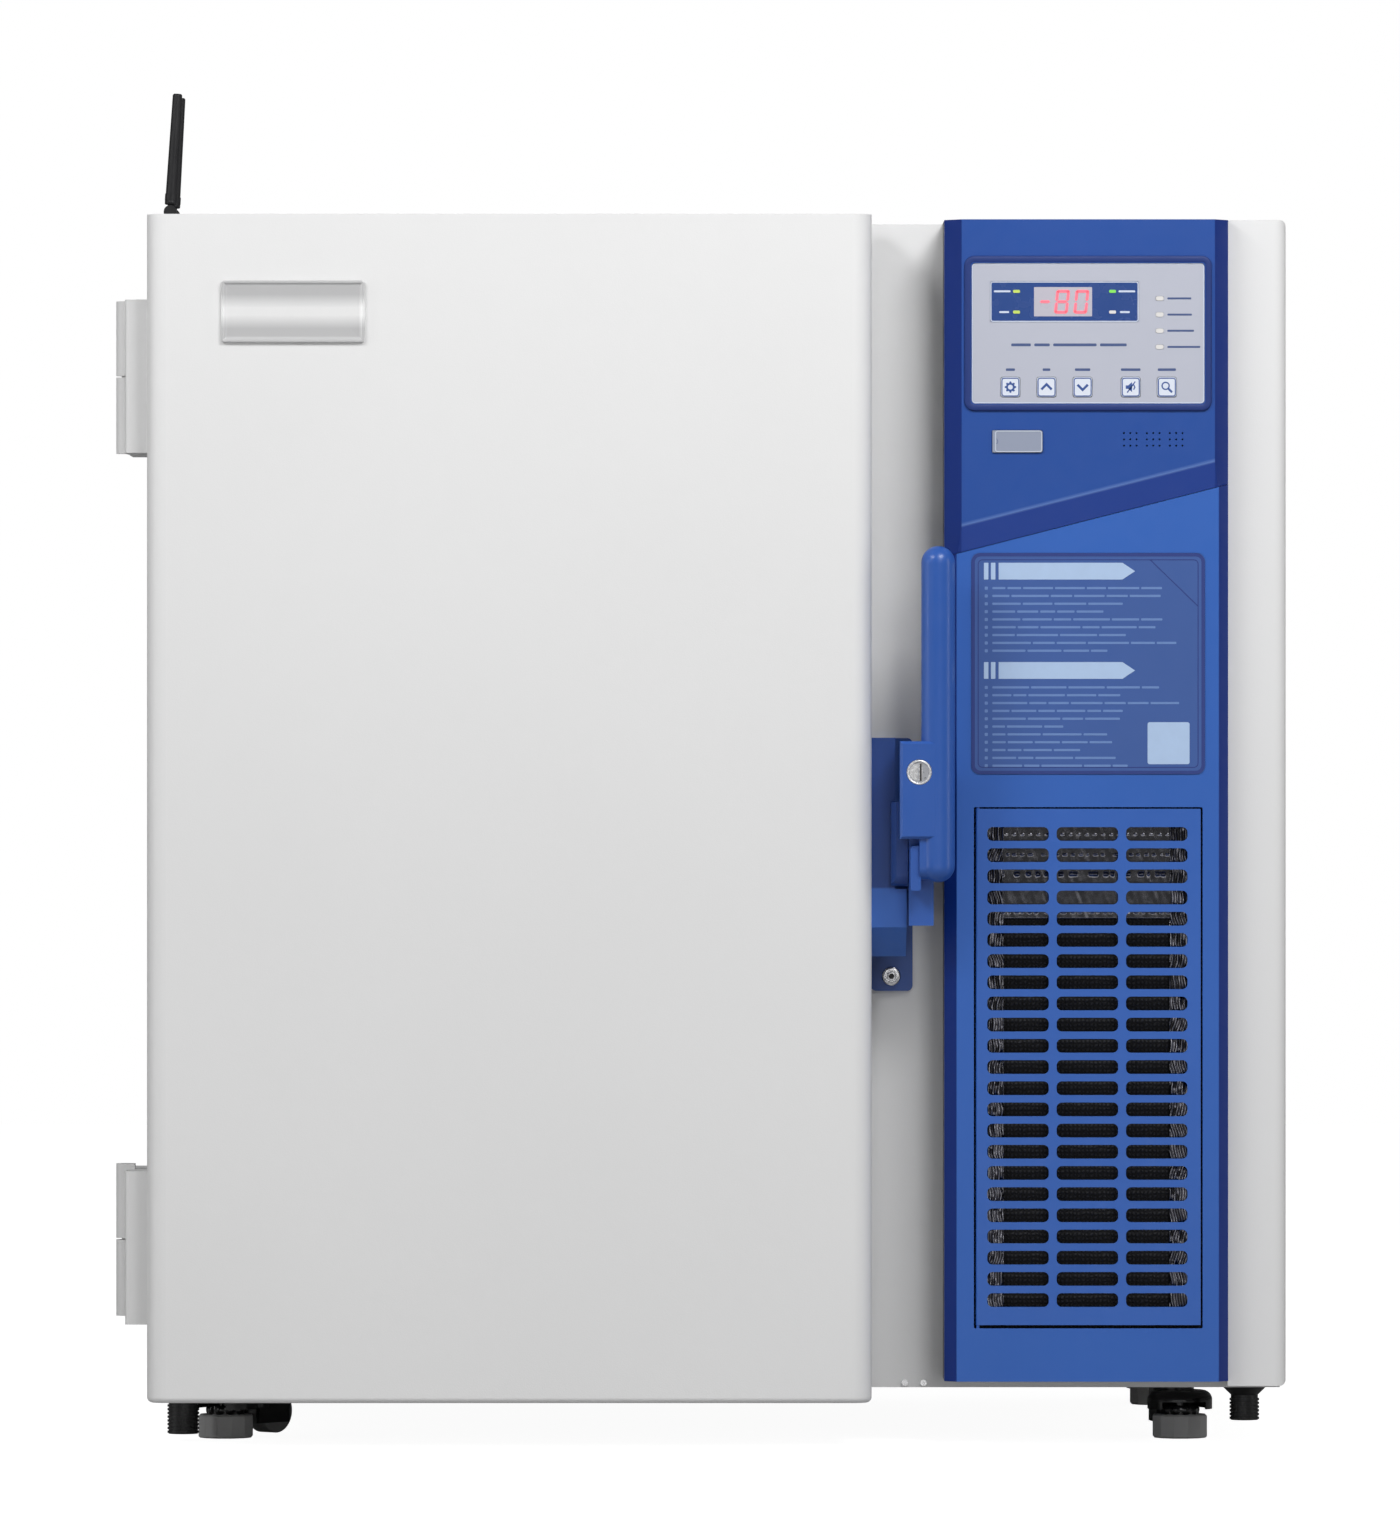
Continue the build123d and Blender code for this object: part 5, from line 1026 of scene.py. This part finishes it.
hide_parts("lock_cylinder")
face = front + 1.1 * MM
lean = np.linspace(0.1, math.pi / 2 - 0.05, 14)
moon_x = lock_x - 6.0 * MM * np.cos(lean) - 0.9 * MM
moon_rise = 6.0 * MM * np.sin(lean)
moon = slab(np.stack([moon_x, lock_z + moon_rise], 1), np.stack([moon_x, lock_z - moon_rise], 1),
            face - 0.55 * MM, face + SINK)
ridges = [rounded_bar(lock_x + x0 * MM, lock_x + x1 * MM, lock_z - 6.3 * MM, lock_z + 6.3 * MM, 0.3 * MM,
                      face - 0.7 * MM, face + SINK) for x0, x1 in ((-0.4, 0.3), (1.7, 2.3))]
piece("lock_moon", [moon] + ridges, polished, "lock")
piece("lock_face", [disc(lock_x, lock_z, LOCK_RADIUS - 1.95 * MM, face - 0.1 * MM, face + SINK)], sunk_metal,
      "lock")
# Painted shadow: the key slot is a dark slab standing on the sunk face.
key_slot = rounded_bar(lock_x + 0.3 * MM, lock_x + 1.7 * MM, lock_z - 6.2 * MM, lock_z + 6.2 * MM, 0.3 * MM,
                       face - 0.3 * MM, face + SINK)
piece("lock_slot_painted_shadow", [key_slot], slot_painted_shadow, "lock")

screws_low, screws_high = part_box("cabinet_screws")
SCREW_RADIUS = 6.8 * MM
screw_x, screw_z = (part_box("striker_plate")[0].x + 15.0 * MM, screws_high.z - SCREW_RADIUS)
head = screws_low.y
flange = [((SCREW_RADIUS - drop * MM), head + deep * MM) for drop, deep in
          ((1.1, 0.4), (1.2, -0.35), (1.6, -0.6), (2.2, -0.55), (2.5, -0.1), (2.7, 0.4))]
dome = [(3.5 * MM, head + 0.4 * MM), (3.5 * MM, head - 0.5 * MM), (3.1 * MM, head - 1.1 * MM),
        (2.6 * MM, head - 1.3 * MM)]
piece("keeper_screw_dome", [turned_solid(profile, screw_x, screw_z) for profile in (flange, dome)], polished,
      "cabinet")
# Painted shadow: the six-sided recess is a dark slab on top of the dome.
recess = turned_solid([(2.2 * MM, head - 1.0 * MM), (2.2 * MM, head - 1.38 * MM)], screw_x, screw_z, 6)
piece("keeper_screw_recess_painted_shadow", [recess], slot_painted_shadow, "cabinet")

# %% [markdown]
# Each whip aerial stands on a knuckle. A short rubber boot hides the thin neck above it. The
# whip leans, so the boot is a turned solid whose circles are shifted along the lean.

# %% Aerial boots
AERIAL_LEAN = math.radians(3.5)
for side in ("front", "rear"):
    low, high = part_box(f"antenna_{side}")
    pivot = np.array([low.x + 4.6 * MM, (low.y + high.y) / 2, low.z + 4.6 * MM])
    axis = np.array([math.sin(AERIAL_LEAN), 0, math.cos(AERIAL_LEAN)])
    across = np.array([math.cos(AERIAL_LEAN), 0, -math.sin(AERIAL_LEAN)])
    turn = np.linspace(0, 2 * math.pi, 40, endpoint=False)[:, None]
    depth = np.array([0, 1, 0])
    rings = [pivot + axis * up * MM + across * radius * MM * np.cos(turn) + depth * radius * MM * np.sin(turn)
             for radius, up in ((3.6, 5.0), (4.4, 5.4), (4.5, 8.6), (3.9, 8.9))]
    seated(f"aerial_boot_{side}", np.concatenate(rings), capped_faces(len(rings), len(turn)), aerial_black,
           f"antenna_{side}")

# %% [markdown]
# The glossy collar above each screw foot has ten soft lobes for the fingers. Its radius waves
# with the angle, and its outline bulges like half a ring; it rides on its foot.

# %% Foot collars
COLLAR_RADIUS = 13.1
COLLAR_MIDDLE = 20.2
COLLAR_HALF_HEIGHT = 3.4
LOBES = 10
LOBE_DEPTH = 0.7
COLLAR_GRID = (12, 160)
foot_gloss = moulded("collar_gloss_black", srgb(30, 30, 31), 0.12)
for corner in CORNERS:
    low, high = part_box(f"caster_foot_{corner}")
    centre = ((low.x + high.x) / 2, (low.y + high.y) / 2)
    turn, bulge = np.meshgrid(np.linspace(0, 2 * math.pi, COLLAR_GRID[1], endpoint=False),
                              np.linspace(0, math.pi, COLLAR_GRID[0]), indexing="xy")
    radius = (COLLAR_RADIUS - 0.6 + (1.2 + LOBE_DEPTH * np.cos(LOBES * turn)) * np.sin(bulge)) * MM
    points = np.stack([centre[0] + radius * np.cos(turn), centre[1] + radius * np.sin(turn),
                       (COLLAR_MIDDLE - COLLAR_HALF_HEIGHT * np.cos(bulge)) * MM], -1)
    seated(f"foot_collar_{corner}", points, capped_faces(*COLLAR_GRID), foot_gloss, f"foot_{corner}")

# %% [markdown]
# The socket flap has round corners, a raised edge whose pale colour is a painted highlight, and a small finger
# notch at its left drawn as a dark arc of painted shade.

# %% Socket flap edge
flap_low, flap_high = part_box("usb_cover")
flap_front = flap_low.y
flap_edge = rounded_outline(flap_low.x + 2.4 * MM, flap_high.x - 0.5 * MM, flap_low.z + 0.5 * MM,
                            flap_high.z - 0.5 * MM, 1.6 * MM)
painted_edge_highlight = moulded("flap_edge_painted_highlight", srgb(198, 206, 220), 0.35, 0.01)
# Painted highlight: the pale stroke along the flap's raised edge.
piece("flap_edge", [stroke(flap_edge, 0.7 * MM, flap_front - 0.15 * MM, flap_front + SINK, True)], painted_edge_highlight,
      "usb_flap")
bend = np.linspace(-1.1, 1.1, 12)
notch = np.stack([flap_low.x + (2.4 + 1.5 * np.cos(bend)) * MM, (flap_low.z + flap_high.z) / 2
                  + 2.0 * np.sin(bend) * MM], 1)
# Painted shade: the finger notch is a dark arc drawn on the flap.
piece("flap_notch_painted_shade", [stroke(notch, 0.35 * MM, flap_front - 0.1 * MM, flap_front + SINK)], bar_ink, "usb_flap")

# %% [markdown]
# Behind the slots, thin glossy film is tucked over the edges of the filter mat. It is crumpled:
# long folds run up and down, shifted by slower waves, so that each fold catches the lamps as a
# broken bright line. The folds come from a sum of sines with seeded phases.

# %% Crumpled film behind the grille
FILM_THICKNESS = 0.05 * MM


def film_sheet(name, points, counts):
    """A grid of points as thin film on the cabinet, given its thickness by Solidify."""
    obj = seated(name, points, grid_faces(*counts), film_black, "cabinet", outward=False)
    obj.modifiers.new("film_thickness", "SOLIDIFY").thickness = FILM_THICKNESS


def crumpled_film(name, x, z, base, folds, depth, fine_share, counts):
    """Sheet with y = base + depth ((1 - s) sin(2 pi (f u + g(v))) + s h(u, v)).

    u runs across the folds and v up along them, both from 0 to 1, f is the number of folds,
    g is a slow wandering of three sines, h a finer sum of six slanted sines and s its share.
    """
    across, up = np.meshgrid(np.linspace(0, 1, counts[0]), np.linspace(0, 1, counts[1]), indexing="ij")
    wander = sum(a * np.sin(2 * math.pi * (n * up + p)) for a, n, p in
                 zip((0.5, 0.3, 0.2), (2.3, 7.1, 17.0), rng.uniform(0, 1, 3)))
    fine = sum(np.sin(2 * math.pi * (a * across + b * up + p)) for a, b, p in
               zip(rng.uniform(0.5, 2.5, 6), rng.uniform(4, 20, 6), rng.uniform(0, 1, 6))) / 3
    y = base + depth * ((1 - fine_share) * np.sin(2 * math.pi * (folds * across + wander)) + fine_share * fine)
    film_sheet(name, np.stack([x[0] + (x[1] - x[0]) * across, y, z[0] + (z[1] - z[0]) * up], -1), counts)


film_black = Finish("crumpled_black_film", roughness=0.14, metallic=1.0)
film_black.drift((0.2, 0.2, 0.22, 1.0), 0.1, 60.0).rough(0.1, 0.18, 200.0)
film_black = film_black.bump(500.0, 0.00005, 0.2).material
grille_low, grille_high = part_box("grille_door")
film_base = grille_high.y + 3.2 * MM
film_z = (grille_low.z + 12 * MM, grille_high.z - 10 * MM)
for side, film_x in (("left", (grille_low.x + 5 * MM, grille_low.x + 20 * MM)),
                     ("right", (grille_high.x - 22 * MM, grille_high.x - 7 * MM))):
    crumpled_film(f"film_{side}", film_x, film_z, film_base, 4, 1.4 * MM, 0.3, (40, 500))


def ridged_film(name, x, z, base, ridges, counts):
    """Sheet with y = base + 0.05 h(u, v) - sum of d exp(-((z - c) / w)^2) r(x), in millimetres.

    Each ridge has a height c, a width w and a depth d; r(x) is a sum of five sines cut off below
    zero, so that the ridge comes and goes along the sheet.
    """
    across, up = np.meshgrid(np.linspace(0, 1, counts[0]), np.linspace(0, 1, counts[1]), indexing="ij")
    fine = sum(np.sin(2 * math.pi * (a * across + b * up + p)) for a, b, p in
               zip(rng.uniform(8, 40, 6), rng.uniform(1, 6, 6), rng.uniform(0, 1, 6))) / 3
    y = base + 0.05 * MM * fine
    height = z[0] + (z[1] - z[0]) * up
    for centre, width, depth in ridges:
        broken = sum(np.sin(2 * math.pi * (a * across + p)) for a, p in
                     zip(rng.uniform(3, 30, 5), rng.uniform(0, 1, 5)))
        y -= depth * np.exp(-((height - centre) / width) ** 2) * np.clip(broken * 0.8, 0, 1)
    film_sheet(name, np.stack([x[0] + (x[1] - x[0]) * across, y, height], -1), counts)


film_ridges = [(grille_high.z - down * MM, wide * MM, deep * MM) for down, wide, deep in
               ((22.0, 0.5, 0.5), (36.5, 0.45, 1.0), (50.5, 0.9, 2.0), (77.8, 0.5, 1.2))]
ridged_film("film_top", (grille_low.x + 19 * MM, grille_high.x - 21 * MM),
            (grille_high.z - 82 * MM, grille_high.z - 10 * MM), film_base + 0.6 * MM, film_ridges, (300, 200))
